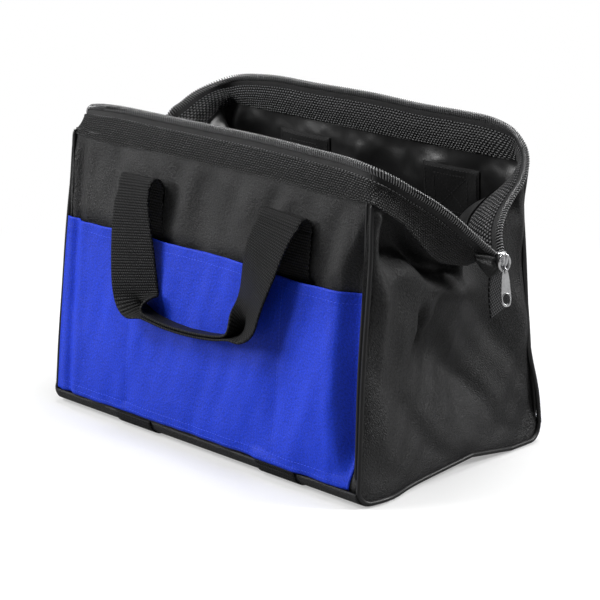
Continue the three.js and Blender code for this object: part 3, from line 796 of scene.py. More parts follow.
def make_mouth_part(name, facing, stretch, stands_for, motion):
    """Band, tape and coil over one stretch of the mouth. motion is what finish_piece needs to know
    about the bodies."""
    coil, seam = stretch_lines(facing, stretch)
    whole = mouth_lines(facing)[0]
    start = lengths_along(whole)[np.argmin(np.linalg.norm(whole - coil[0], axis=1))]
    lengths = start + lengths_along(coil)
    outside = facing == "rear"
    swell = -1.6 if outside else 1.6
    sheets = [("band", "band_webbing", 9.4, None, 21, swell, 3.0),
              ("tape", "zip_tape", 1.0, 11.5, 9, swell / 4, 0.9)]
    for kind, slot, near, far, columns, belly, thickness in sheets:
        grid, depth = strip_between(coil, seam, near, far, columns, belly)
        pattern = np.stack([np.broadcast_to(lengths[:, None], depth.shape), depth], -1)
        if outside:
            grid, pattern = grid[:, ::-1], pattern[:, ::-1]
        # The band's inner face gets the darker copy of the webbing: painted shade
        inside = MATERIALS["band_inside_painted_shade"] if kind == "band" else None
        piece = make_sheet(f"{name}_{kind}", grid, MATERIALS[slot], thickness, 0.0, inside, pattern)
        finish_piece(piece, slot, stands_for[kind], **motion)
    rings = coil_rings(coil, seam)
    faces = grid_faces(*rings.shape[:2], wrap=True)[:, ::-1]
    piece = make_mesh(name + "_coil", rings, faces, MATERIALS["zip_coil"])
    finish_piece(piece, "zip_coil", stands_for["coil"], **motion)


def make_mouth(facing):
    """The long run and both corner arms of one side of the mouth."""
    wall = facing + "_wall"
    run = {"band": [facing + "_band", facing + "_stay"], "tape": [facing + "_zip_tape"],
           "coil": [facing + "_zip_coil"]}
    make_mouth_part(facing + "_run", facing, "run", run, {"body": wall})
    for side in SIDES:
        arm = f"{facing}_{side}_arm"
        sign = FACING[facing]
        start = (SIDES[side] * ARM_BEND_X, sign * ARM_BEND_FROM[facing], ARM_BEND_HEIGHT)
        end = (SIDES[side] * ARM_BEND_X, sign * ARM_BEND_TO, ARM_BEND_HEIGHT)
        corner = {kind: [f"{arm}_{kind}"] for kind in ("band", "tape", "coil")}
        motion = {"bend": (wall, arm, start, end)}
        make_mouth_part(f"{facing}_{side}_corner", facing, side, corner, motion)


# End cloths

# An end cloth's half width at the foot, and its edges along Y at the top
END_FOOT = 99.4
END_TOP = {"front": 81.0, "rear": 86.0}

# Where the halves of an end cloth meet, along Y, and two points on each half handed to
# finish_piece, which makes no bend with them: from the meeting line, along Y, along X and up
END_MIDDLE = 6.0
END_BEND_FROM = 8.0
END_BEND_TO = 86.0
END_BEND_X = 160.0
END_BEND_HEIGHT = 100.0

# The end's lower edge lifts off the floor to a low peak, at LIFT_PEAK along Y
LIFT_HEIGHT = 7.0
LIFT_PEAK = 21.0
FOOT_LEVEL = 2.4

# The base's half width, its corners' radius and where they begin along Y
BASE_HALF = 99.5
CORNER_RADIUS = 11.0
CORNER_FROM = BASE_HALF - CORNER_RADIUS


def foot_height(y):
    """The end's lower edge: a low tent, straight on both sides, between rounded corners."""
    rising = np.clip((y + 62) / (LIFT_PEAK + 62), 0, 1)
    falling = np.clip((66 - y) / (66 - LIFT_PEAK), 0, 1)
    tent = LIFT_HEIGHT * np.minimum(rising, falling)
    turn = np.clip((np.abs(y) - CORNER_FROM) / CORNER_RADIUS, 0, 1)
    return FOOT_LEVEL + 0.94 * tent + CORNER_RADIUS * (1 - np.sqrt(np.maximum(1 - turn ** 2, 0)))


def foot_reach(y):
    """How far out the end's lower edge lies: it bulges near the front corner."""
    turn = np.clip((np.abs(y) - CORNER_FROM) / CORNER_RADIUS, 0, 1)
    return 165.0 + 4.4 * bump_at(y, -74, 20) * (1 - turn ** 2) - 1.0 * turn ** 2


def end_surface(side, y_share, rise):
    """The end cloth. Each upright line runs from the base to the mouth's seam; the cloth starts low
    beside the corner piping and rounds out, tucks in under the band, and has a valley from a dent
    in its middle down to the lower rear corner."""
    seams = {facing: stretch_lines(facing, "right")[1] for facing in FACING}
    seam = np.vstack([seams["front"], seams["rear"]])
    seam = seam[np.argsort(seam[:, 1])]
    foot = END_FOOT * y_share
    top_y = seam[0, 1] + (seam[-1, 1] - seam[0, 1]) * (y_share + 1) / 2
    top_x = np.interp(top_y, seam[:, 1], seam[:, 0])
    top_z = np.interp(top_y, seam[:, 1], seam[:, 2]) + 1.5
    low_z = foot_height(foot)
    y = foot + (top_y - foot) * rise
    z = low_z + (top_z - low_z) * rise

    # The plain shape: out at the foot, drawn in upwards, and rounded back at both edges
    low_x = foot_reach(foot)
    level = 164.4 - 6.5 * z / 218.0
    x = low_x + (level - low_x) * ease(z, 2, 70)
    x = x + (top_x - level) * ease(rise, 0.3, 1.0)
    front_edge = -(END_FOOT - (END_FOOT - END_TOP["front"]) * rise)
    rear_edge = END_FOOT - (END_FOOT - END_TOP["rear"]) * rise
    edge = np.maximum(np.minimum(y - front_edge, rear_edge - y), 0)
    fall = np.where(y < 0, 5.4, 3.0) * np.exp(-(edge / 5.0) ** 1.4)
    x = x - 0.8 + (3.0 - fall) * ease(z, 6, 60) * (1 - 0.6 * ease(rise, 0.75, 1.0))

    # The tucks under the front and the rear half of the band, and the bright ridge below them
    below = (1 - rise) * (top_z - low_z)
    front_tuck = ease(top_y, -79, -67) * (1 - 0.3 * ease(top_y, -35, -5)) * (1 - ease(top_y, 4, 16))
    reach = 8.5 + 13 * (1 - ease(top_y, -72, -40))
    x = x - 22 * front_tuck * np.exp(-(np.abs(below - reach) / reach) ** 2.2) * ease(below, 0, 4)
    rear_tuck = ease(top_y, 14, 34) * (1 - ease(top_y, 66, 82))
    x = x - 16 * rear_tuck * np.exp(-(np.abs(below - 15) / 13.0) ** 2.2) * ease(below, 0.5, 9)
    x = x + 4.5 * bump_at(z, 146 - 0.29 * (y + 15), 8) * ease(y, -34, -16) * (1 - ease(y, 24, 44))

    # A ridge and a hollow that fan out from the top front corner
    ridge_y = front_edge + 4 + 16 * (1 - rise) ** 0.6
    ridge = bump_at(y, ridge_y, 3 + 4.5 * (1 - rise) ** 0.5)
    x = x + 3.4 * ridge * ease(z, 30, 110) * (1 - ease(rise, 0.96, 1.0))
    x = x - 2.4 * bump_at(y, ridge_y + 15, 8) * ease(z, 60, 130) * (1 - ease(rise, 0.8, 0.95))

    # The valley, sharp on its upper side and soft on its lower one, and the dent at its head
    along = ((y + 27) * 110 + (z - 104) * -81) / 136.6
    off = ((y + 27) * 81 + (z - 104) * 110) / 136.6
    valley = ease(along, -34, 4) * (1 - 0.7 * ease(along, 50, 140)) * (1 - ease(along, 140, 156))
    fade = 32.0 + 15.0 * np.tanh(off / 8.0)
    x = x - 17.0 * valley * np.exp((8.0 - np.sqrt(off ** 2 + 64.0)) / fade)
    x = x - 8.0 * bump_at(y + 0.15 * (z - 121), -34, 4.2) * bump_at(z, 121, 13)
    x = x + 4.0 * bump_at(y, -24, 6) * bump_at(z, 124, 14)
    x = x + 2.8 * bump_at(y, -40, 5) * bump_at(z, 118, 16)
    x = x - 3.0 * bump_at(y, -27, 3.6) * bump_at(z, 106, 5)

    seed = END_SEEDS[side]
    calm = np.clip(edge / 18.0, 0, 1) * ease(below, 0, 12) * ease(z, 8, 26)
    x = x + calm * (2.0 * ripple(y, z, seed, 80, 100) + 0.6 * ripple(y, z, seed + 1, 30, 38))
    return np.stack([SIDES[side] * x, y, z], -1)


def make_end(side):
    """Both halves of one end cloth, which meet on a line near END_MIDDLE along Y."""
    rise = np.linspace(0, 1, 141)[None, :]
    share = np.linspace(-1, 1, 201)[:, None]
    share = share + 0.09 * np.sin(np.pi * share)
    grid = end_surface(side, share + 0 * rise, rise + 0 * share)
    middle = int(np.argmin(np.abs(grid[:, 0, 1] - END_MIDDLE)))
    halves = {"front": grid[:middle + 1], "rear": grid[middle:]}
    for facing, half in halves.items():
        if side == "left":
            half = half[::-1]
        along = lengths_along(half[:, 60])
        up = lengths_along(half[half.shape[0] // 2])
        pattern = np.stack(np.meshgrid(along, up, indexing="ij"), -1)
        piece = make_sheet(f"{side}_end_{facing}_cloth", half, MATERIALS["black_cloth"], CLOTH,
                           lining=MATERIALS["lining"], pattern=pattern, rim=False)
        sign = FACING[facing]
        start = (END_BEND_X * SIDES[side], END_MIDDLE + sign * END_BEND_FROM, END_BEND_HEIGHT)
        end = (END_BEND_X * SIDES[side], sign * END_BEND_TO, END_BEND_HEIGHT)
        nodes = [f"{facing}_{side}_gusset"] + ([side + "_end_panel"] if facing == "front" else [])
        finish_piece(piece, "black_cloth", nodes, bend=("base", facing + "_wall", start, end))


# Piping, base and straps

def make_second_piping(x, h, path):
    """A thinner cord beside the front right corner's own cord, further off towards the top, and the
    covering between the two: straight lines from one cord to the other, painted near black as
    the shade in the groove between the cords."""
    apart = 3.5 + 1.7 * h / WALL_HEIGHT
    beside = resample(wall_points("front", x - apart, h, corner_out("front", h) - 0.5), 170)
    piece = make_cord("front_right_second_piping", beside[6:], 1.35, MATERIALS["piping"])
    finish_piece(piece, "piping", body="front_wall")
    share = np.linspace(0, 1, 7)[None, :, None]
    welt = (beside[:, None] + (path - beside)[:, None] * share)[6:, ::-1]
    # The cover is painted near black: painted shade between the two cords
    piece = make_sheet("front_right_piping_cover", welt, MATERIALS["piping_cover_painted_shade"], 1.2, 0.0)
    finish_piece(piece, "piping", body="front_wall")


def make_pipings():
    """Round cord up each corner, and one along each end's lower edge that turns up at both its
    rounded corners and runs a little way up inside the corner cords."""
    corners = {}
    h = np.linspace(9.5, WALL_HEIGHT + 1, 130)
    for facing in FACING:
        inset = 1.0 if facing == "front" else -1.2
        for side, sign in SIDES.items():
            beyond = 1.0 + (inset - 1.0) * ease(h, 30, 75)
            x = sign * (half_length(h) + beyond + 0.3 * np.sin(h / 19.0) * ease(h, 20, 60))
            path = resample(wall_points(facing, x, h, corner_out(facing, h)), 170)
            corners[facing, side] = path
            name = f"{facing}_{side}_corner_piping"
            piece = make_cord(name, path, PIPING_RADIUS, MATERIALS["piping"])
            finish_piece(piece, "piping", [f"{facing}_{side}_piping"], body=facing + "_wall")
            if (facing, side) == ("front", "right"):
                make_second_piping(x, h, path)
    turn = np.linspace(0, 1, 24)[1:] ** 1.5
    level = np.linspace(-88, 88, 160)[1:-1]
    rounding = BASE_HALF - CORNER_RADIUS * turn
    y = np.concatenate([-rounding, level, rounding[::-1]])
    for side, sign in SIDES.items():
        path = np.stack([sign * (foot_reach(y) + 0.4), y, foot_height(y) - 0.2], -1)
        path = np.vstack([corners["front", side][6:0:-2], path, corners["rear", side][1:7:2]])
        path = resample(smooth_path(path, 800), 260)
        piece = make_cord(side + "_foot_piping", path, 1.85, MATERIALS["piping"])
        finish_piece(piece, "piping", [side + "_base_piping"], body="base")


def make_base():
    """The base cloth: a flat sheet whose long edges bend up in a circle's profile to meet the
    walls, and whose ends follow the end cloths' lifted lower edges."""
    u = np.linspace(-1, 1, 161)[:, None]
    v = np.linspace(-1, 1, 161)[None, :]
    v = v + 0.10 * np.sin(np.pi * v)
    level = 0.92
    bend = np.clip(np.abs(v) - level, 0, None) / (1 - level)
    flat = 100.9 - BEND_RADIUS
    angle = bend * BEND_TURN
    over = np.where(bend > 0, flat + BEND_RADIUS * np.sin(angle), np.abs(v) / level * flat)
    y = np.sign(v) * over + 0 * u
    rise = BEND_RADIUS * (1 - np.cos(angle))
    x = u * foot_reach(np.clip(y, -99, 99))
    tent = (foot_height(np.clip(y, -85, 85)) - FOOT_LEVEL) * ease(np.abs(x), 96, 168)
    grid = np.stack([x, y, 1.3 + rise + tent * (bend <= 0)], -1)[::-1]
    piece = make_sheet("base_cloth", grid, MATERIALS["black_cloth"], 1.2, 1.0, MATERIALS["lining"])
    finish_piece(piece, "black_cloth", ["base_panel"], body="base")


def make_board_cover():
    """The covered board on the base: a soft sheet that rounds down at its edges and rises a little
    towards the ends."""
    half_x, half_y = 152, 86
    x = half_x * np.linspace(-1, 1, 161)[:, None] + np.zeros((1, 121))
    y = half_y * np.linspace(-1, 1, 121)[None, :] + np.zeros((161, 1))
    edge = np.minimum(half_x - np.abs(x), half_y - np.abs(y))
    z = 6.6 - 1.8 * np.exp(-edge / 2.0) + 0.5 * ripple(x, y, 77, 60, 70)
    grid = np.stack([x, y, z + 4.5 * ease(np.abs(x), 96, 165)], -1)
    piece = make_sheet("base_board_cover", grid, MATERIALS["lining"], 2.6)
    finish_piece(piece, "base_board", ["base_board"], body="base")


def make_straps():
    """Webbing that runs under the base, bends up round its long edges and runs up both walls behind
    the pockets."""
    v = np.linspace(-1, 1, 13)[None, :]
    radius = BEND_RADIUS + 1.2
    flat = 102.0 - radius
    angle = np.linspace(0, BEND_TURN, 20)[1:]
    y = np.concatenate([np.linspace(0, flat, 30), flat + radius * np.sin(angle)])
    z = 0.15 + np.concatenate([np.zeros(30), radius * (1 - np.cos(angle))])
    y, z = np.concatenate([-y[:0:-1], y])[:, None], np.concatenate([z[:0:-1], z])[:, None]
    h = np.linspace(6.0, 184.0, 150)[:, None]
    webbing = MATERIALS["strap_webbing"]
    for side, middle in STRAP_X.items():
        x = middle + WEBBING_HALF * v
        grid = np.stack(np.broadcast_arrays(x, y, z), -1)[:, ::-1]
        piece = make_sheet(side + "_base_webbing", grid, webbing, 1.1)
        finish_piece(piece, "strap_webbing", [side + "_base_strap"], body="base")
        for facing in FACING:
            grid = wall_points(facing, x, h, strap_out(facing, middle, h))
            if facing == "front":
                grid = grid[:, ::-1]
            piece = make_sheet(f"{facing}_{side}_wall_webbing", grid, webbing, 1.2)
            finish_piece(piece, "strap_webbing", [f"{facing}_{side}_strap"], body=facing + "_wall")


def strap_out(facing, middle, height):
    """The outer face of a strap: over the wall's cloth along the strap's middle line."""
    return skin_out(facing, np.full_like(height, middle), height) + 1.35


# The patches' size, and their straight rows of stitches: from and to along the wall, from the
# strap's middle, and from and to up it
PATCH_HALF = 27.5
PATCH_FOOT = 157.5
PATCH_TOP = 200.0
PATCH_ROWS = [((-16, 16), (164, 164)), ((-16, 16), (193, 193)), ((-16, -16), (164, 193)),
              ((16, 16), (164, 193)), ((-16, 16), (164, 193)), ((-16, 16), (193, 164)),
              ((-24.5, 24.5), (197.5, 197.5)), ((-25, -25), (160, 197)), ((25, 25), (160, 197)),
              ((-24.5, 24.5), (160, 160))]


def patch_row(facing, middle, across, up):
    """A straight row of stitches on a patch, which faces into the bag."""
    share = np.linspace(0, 1, 40)
    x = middle + across[0] + (across[1] - across[0]) * share
    height = up[0] + (up[1] - up[0]) * share
    path, outward = wall_row(facing, x, height, skin_out(facing, x, height) - CLOTH - 1.6)
    return path, -outward


def make_patches():
    """Reinforcing patches inside the walls, whose edges sink into the lining, with box and cross
    stitching."""
    u = np.linspace(-1, 1, 71)[:, None]
    height = np.linspace(PATCH_FOOT, PATCH_TOP, 61)[None, :] + 0 * u
    for facing in FACING:
        for side, middle in STRAP_X.items():
            x = middle + PATCH_HALF * u + 0 * height
            border = np.minimum(PATCH_HALF - np.abs(x - middle),
                                np.minimum(height - PATCH_FOOT, PATCH_TOP - height))
            out = skin_out(facing, x, height) - CLOTH - 0.1 - 0.7 * ease(border, 0, 3.2)
            grid = wall_points(facing, x, height, out)
            if facing == "front":
                grid = grid[::-1]
            name = f"{facing}_{side}"
            piece = make_sheet(name + "_lining_patch", grid, MATERIALS["patch_cloth"], 0.6, 1.0)
            finish_piece(piece, "black_cloth", [name + "_patch"], body=facing + "_wall")
            rows = [patch_row(facing, middle, across, up) for across, up in PATCH_ROWS]
            thread = MATERIALS["black_thread"]
            stitches = stitch_rows(name + "_patch_stitches", rows, thread, width=0.8)
            finish_piece(stitches, "black_cloth", body=facing + "_wall")


# Handles

# The middle line of the front handle from its left fold to its right one: x, height up the wall,
# distance out, twist of the webbing in degrees, how far it is folded in half (0 to 1), and the
# way its edge-to-edge direction has turned, in degrees
HANDLE_LINE = [
    (-71.3, 187.5, 17.6, -6, 0, 6),
    (-71.6, 182.0, 18.4, -4, 0, 7),
    (-72.1, 174.0, 19.0, 0, 0, 7),
    (-71.0, 158.0, 19.0, 7, 0, 8),
    (-68.2, 140.0, 19.0, 15, 0, 8),
    (-66.0, 124.0, 18.5, 21, 0, 8),
    (-64.6, 112.0, 17.5, 23, 0, 9),
    (-63.6, 104.0, 15.0, 20, 0.10, 13),
    (-60.0, 98.0, 10.0, 12, 0.52, 36),
    (-53.0, 94.0, 6.0, 5, 0.93, 62),
    (-42.0, 91.6, 4.4, 1, 1.0, 77),
    (-22.0, 89.8, 3.8, 0, 1.0, 86),
    (2.0, 90.2, 3.8, 0, 1.0, 92),
    (24.0, 92.4, 4.0, 0, 1.0, 97),
    (37.0, 95.2, 4.8, 1, 1.0, 103),
    (45.0, 99.6, 7.5, 6, 0.90, 120),
    (49.8, 106.8, 11.5, 14, 0.50, 141),
    (54.0, 115.5, 15.0, 20, 0.10, 156),
    (59.3, 129.0, 18.0, 20, 0, 162),
    (65.0, 145.0, 20.0, 13, 0, 163),
    (69.7, 160.0, 20.5, 6, 0, 165),
    (74.4, 173.0, 20.2, 4, 0, 168),
    (78.0, 181.5, 19.2, 2, 0, 172),
    (80.5, 187.5, 17.6, 1, 0, 174),
]

# How much further out than the front one each handle hangs, and how far up a wall its hinge is
HANDLE_GAP = {"front": 0, "rear": 0.6}
HANDLE_HINGE = 193.0


def handle_surface(facing):
    """The handle as a band of webbing: each cross line starts from its edge-to-edge direction,
    turned in the wall's plane and twisted, and closes like a book where it is folded. A point at
    w across is the spine plus |w| times (the half's direction cos(fold) + outward sin(fold))."""
    line = smooth_path(np.array(HANDLE_LINE)[:, :3], 220)
    rest = smooth_path(np.array(HANDLE_LINE)[:, 3:], 220)
    twist, turned = np.radians(rest[:, 0]), np.radians(rest[:, 2])
    fold = np.clip(rest[:, 1], 0, 1) * math.radians(86)
    w = np.linspace(-1, 1, 25) * WEBBING_HALF
    across = np.stack([np.cos(turned) * np.cos(twist), np.sin(turned), -np.sin(twist)], -1)
    outward = np.stack([np.sin(twist), 0 * twist, np.cos(twist)], -1)
    size = np.sqrt(w ** 2 + 1.2) - math.sqrt(1.2)
    local = (line[:, None]
             + (np.sign(w) * size)[None, :, None] * (across * np.cos(fold)[:, None])[:, None]
             + size[None, :, None] * (outward * np.sin(fold)[:, None])[:, None])
    grid = wall_points(facing, local[..., 0], local[..., 1], local[..., 2] + HANDLE_GAP[facing])
    pattern = np.stack(np.broadcast_arrays(lengths_along(line)[:, None], w[None, :]), -1)
    return grid, pattern


def make_handle_fold(facing, side, end, half_turn):
    """A fold that goes up the strap and over in half an ellipse to the handle's end, and whose
    ridge is tilted a little, as that end is. half_turn is taken off the end's turn."""
    first = STRAP_X[side]
    end_x, end_height, end_out, end_twist, _, end_turn = end
    strap = strap_out(facing, first, np.array([185.0]))[0] - 0.65
    end_out = end_out + HANDLE_GAP[facing]
    angle = np.linspace(0, np.pi, 48)
    over = np.stack([first + (end_x - first) * angle / np.pi,
                     185.5 + (end_height - 185.5) * angle / np.pi + 8.5 * np.sin(angle),
                     (strap + end_out) / 2 - (end_out - strap) / 2 * np.cos(angle)], -1)
    below = np.stack([np.full(8, first), np.linspace(178, 185, 8), np.full(8, strap)], -1)
    bow = np.vstack([below, over])
    v = np.linspace(-1, 1, 13) * WEBBING_HALF
    share = ease(np.linspace(0, 1, len(bow)), 0.2, 1.0)[:, None]
    tilt = share * math.radians(end_twist)
    lean = share * math.radians(end_turn - half_turn)
    x = bow[:, 0:1] + v[None, :] * np.cos(tilt) * np.cos(lean)
    height = bow[:, 1:2] + v[None, :] * np.sin(lean)
    out = bow[:, 2:3] - v[None, :] * np.sin(tilt)
    grid = wall_points(facing, x, height, out)
    pattern = np.stack(np.broadcast_arrays(lengths_along(bow)[:, None], v[None, :]), -1)
    if facing == "front":
        grid, pattern = grid[:, ::-1], pattern[:, ::-1]
    piece = make_sheet(f"{facing}_{side}_handle_fold", grid, MATERIALS["strap_webbing"], 1.5, 0.0,
                       pattern=pattern)
    start, stop = wall_points(facing, np.array([first, first]), np.full(2, HANDLE_HINGE),
                              np.array([strap + 1.5, end_out - 1.0]))
    finish_piece(piece, "strap_webbing", bend=(facing + "_wall", facing + "_handle", start, stop))


def make_handle(facing):
    """A carrying handle and the two rounded folds that join it to the strap tops."""
    grid, pattern = handle_surface(facing)
    if facing == "front":
        grid, pattern = grid[:, ::-1], pattern[:, ::-1]
    piece = make_sheet(facing + "_handle_webbing", grid, MATERIALS["strap_webbing"], 1.5, 0.0,
                       pattern=pattern)
    finish_piece(piece, "strap_webbing", [facing + "_handle"], body=facing + "_handle")
    make_handle_fold(facing, "left", HANDLE_LINE[0], 0)
    make_handle_fold(facing, "right", HANDLE_LINE[-1], 180)


# Zip end: slider, ring, pull and webbing tabs

SLIDER = (196.0, 13.5, 167.0)

# How much higher than in the solids the ring and the pull hang
RING_RISE = 5.5

# The pull's turn about the vertical
PULL_TURN = math.radians(30)


def superellipse_body(name, centre, half, material):
    """A rounded block: |x/a|^4 + |y/b|^4 + |z/c|^4 = 1, drawn from longitude and latitude."""
    rows, columns = 24, 32
    lon = np.linspace(-np.pi, np.pi, columns, endpoint=False)[None, :]
    lat = np.linspace(-np.pi / 2 + 0.02, np.pi / 2 - 0.02, rows)[:, None]

    def rounded(values):
        """The square root of each value, with its sign."""
        return np.sign(values) * np.sqrt(np.abs(values))
    x = half[0] * rounded(np.cos(lat)) * rounded(np.cos(lon))
    y = half[1] * rounded(np.cos(lat)) * rounded(np.sin(lon))
    z = half[2] * rounded(np.sin(lat)) + 0 * lon
    points = np.stack(np.broadcast_arrays(x, y, z), -1) + centre
    return make_mesh(name, points, grid_faces(rows, columns, wrap=True)[:, ::-1], material)


def make_loop(name, path, radius, material):
    """A closed ring of round wire along a closed path."""
    rows = len(path)
    closed = np.vstack([path[-1:], path, path[:1]])
    rings = tube(closed, np.full(rows + 2, radius), CORD_SIDES)[1:-1]
    faces = grid_faces(rows + 1, CORD_SIDES, wrap=True)[:, ::-1] % (rows * CORD_SIDES)
    return make_mesh(name, rings, faces, material)


def make_zip_end():
    """Slider with its bridge, the pull ring, the pull tab and the webbing tabs at both zip ends."""
    metal = MATERIALS["zip_metal"]
    x, y, z = SLIDER
    piece = superellipse_body("slider_body", (x - 0.4, y + 0.5, z + 0.5), (2.2, 4.2, 5.4), metal)
    finish_piece(piece, "zip_metal", ["zip_slider"], body="right_zip_end")
    arc = np.linspace(0, np.pi, 30)
    bow = 1.6 + 3.0 * np.sin(arc) ** 0.7
    bridge = np.stack([x + bow, 0 * arc + y, z + 0.4 + 4.6 * np.cos(arc)], -1)
    piece = make_cord("slider_bridge", bridge, 1.0, metal)
    finish_piece(piece, "zip_metal", body="right_zip_end")

    angle = np.linspace(0, 2 * np.pi, 48, endpoint=False)
    along = 4.1 * np.cos(angle)
    height = 159.7 + RING_RISE + 6.1 * np.sin(angle)
    ring = np.stack([199.4 + along * 0.45, y - 1.0 + along * 0.9, height], -1)
    piece = make_loop("pull_ring_wire", ring, 0.95, metal)
    finish_piece(piece, "zip_metal", ["pull_ring"], body="pull_ring")

    make_pull_tab(metal)
    for side in SIDES:
        make_end_tab(side)
        make_tape_ends(side)


def make_pull_tab(metal):
    """The pull: a plate that widens downwards, with a long round-ended hole near its foot, a rim
    round the hole and an eye for the ring. Rings of points run from its outline to the hole's edge.
    It hangs turned a little towards the front and leans to the rear."""
    top, foot = 155.6 + RING_RISE, 126.6 + RING_RISE
    length = top - foot
    hole_height = foot + 6.0
    count, rings = 72, 10
    angle = np.linspace(0, 2 * np.pi, count, endpoint=False)
    up, side = np.sin(angle), np.cos(angle)
    edge_up = (top + foot) / 2 + length / 2 * np.sign(up) * np.abs(up) ** 0.55
    half = 4.4 - 1.9 * ((edge_up - foot) / length) ** 0.8
    edge_across = half * np.sign(side) * np.abs(side) ** 0.75
    share = np.linspace(0, 1, rings)[None, :]
    across = edge_across[:, None] + (2.7 * side - edge_across)[:, None] * share
    height = edge_up[:, None] + (hole_height + 4.0 * up - edge_up)[:, None] * share

    def placed(across, height, out):
        """Points of the pull from distances across it, up it and out of its face."""
        lean = 0.10 * (top - height)
        x = 199.8 + across * math.sin(PULL_TURN) + out * math.cos(PULL_TURN)
        y = SLIDER[1] - 0.8 + lean + across * math.cos(PULL_TURN) - out * math.sin(PULL_TURN)
        return np.stack([x, y, height], -1)

    faces = grid_faces(count + 1, rings) % (count * rings)
    piece = make_mesh("pull_tab_plate", placed(across, height, 0 * height), faces, metal)
    thicken(piece, 1.5, 0.0)
    bevel = piece.modifiers.new("Soft edges", "BEVEL")
    bevel.width = 0.35 * MM
    bevel.segments = 2
    finish_piece(piece, "zip_metal", ["pull_tab"], body="pull_tab")
    arc = np.linspace(0, 2 * np.pi, 36, endpoint=False)
    eye = placed(0 * arc, top - 1.4 + 1.9 * np.sin(arc), 1.7 * np.cos(arc))
    piece = make_loop("pull_tab_eye", eye, 0.85, metal)
    finish_piece(piece, "zip_metal", body="pull_tab")
    rim = placed(3.2 * side, hole_height + 4.5 * up, 0 * angle + 0.7)
    piece = make_loop("pull_tab_rim", rim, 0.45, metal)
    finish_piece(piece, "zip_metal", body="pull_tab")


# Corners of the webbing tab as (y, z): its upper edge, then its slanting lower edge
TAB_CORNERS = np.array([[(6.0, 158.0), (19.5, 160.5)], [(9.3, 122.7), (23.0, 127.8)]])

# The folded tape ends beside the slider: points along each one's upper and its lower line
TAPE_ENDS = {
    "front": ([(186.3, -5.5, 172.5), (191.5, 4, 170.5), (195, 12.5, 167)],
              [(187.3, -4, 167.5), (189.0, 1, 159.5), (191.0, 6, 154.3), (193.0, 13.5, 157)]),
    "rear": ([(188.5, 23, 176), (192.5, 19, 171.5), (195.5, 15, 167)],
             [(186.5, 23, 168), (190, 20.5, 160), (192.5, 17, 157), (194, 14, 158)]),
}


def make_end_tab(side):
    """A webbing tab that hangs from under the slider, drawn between its corners."""
    u = np.linspace(0, 1, 61)[:, None]
    v = np.linspace(0, 1, 17)[None, :]
    upper, lower = (edge[0] + (edge[1] - edge[0]) * v[..., None] for edge in TAB_CORNERS)
    place = upper + (lower - upper) * u[..., None]
    x = SIDES[side] * (191.6 - 1.4 * np.sin(np.pi * u) - 1.0 * u + 0.5 * v)
    grid = np.concatenate([x[..., None], place], -1)
    pattern = np.stack(np.broadcast_arrays(35.0 * u, 14.0 * v), -1)
    if side == "right":
        grid, pattern = grid[:, ::-1], pattern[:, ::-1]
    piece = make_sheet(side + "_zip_webbing_tab", grid[::-1], MATERIALS["tab_webbing"], 1.2, 0.0,
                       pattern=pattern[::-1])
    finish_piece(piece, "strap_webbing", [side + "_zip_end_tab"], body=side + "_zip_end")


def make_tape_ends(side):
    """The zip tapes' folded ends above the tab: straight lines between an upper and a lower line,
    with a swell across them and small creases."""
    w = np.linspace(0, 1, 13)[None, :]
    t = np.linspace(0, 1, 41)[:, None]
    for facing, lines in TAPE_ENDS.items():
        high, low = (smooth_path(line, 41) for line in lines)
        tape = high[:, None] + (low - high)[:, None] * w[..., None]
        crease = 0.7 * np.sin(4 * np.pi * w + 3 * t)
        tape[..., 0] += 2.2 * np.sin(np.pi * w) * np.sin(np.pi * t) + crease
        tape[..., 0] *= SIDES[side]
        if (side == "right") == (facing == "rear"):
            tape = tape[:, ::-1]
        piece = make_sheet(f"{side}_{facing}_tape_end", tape, MATERIALS["black_cloth"], 0.9, 0.0)
        finish_piece(piece, "black_cloth", body=side + "_zip_end")


# Stage

# The photograph's lens and sensor in millimetres, its frame's shift in shares of the frame, which
# is 600 pixels wide, and the point that the camera looks at
LENS = 150
SENSOR = 36
SHIFT = (7.467 / 600, -28.442 / 600)
CAMERA_AIM = np.array([0.0, 0.0, 0.120])
LAMP_AIM = Vector((0, 0, 0.11))

# The floor's half size, and how far from the bag it starts and ends to turn into the backdrop, in
# metres; the share of white that it always has; the share of its light that it throws back; and the
# strength of the backdrop's light on the bag
FLOOR_HALF = 6.0
FADE_FROM = 0.22
FADE_TO = 0.62
FLOOR_WHITE = 0.35
FLOOR_RETURN = 0.32
SOFT_LIGHT = 0.06

# The lamps: name, place and size in metres, and power in watts
LAMPS = [("key", (-1.9, -1.7, 0.9), (0.9, 0.8), 40), ("upper key", (-1.2, -1.4, 2.0), (1.0, 0.8), 42),
         ("side", (1.8, 1.45, 1.6), (0.8, 0.8), 64), ("top", (0.2, 0.3, 2.6), (1.5, 1.2), 50)]


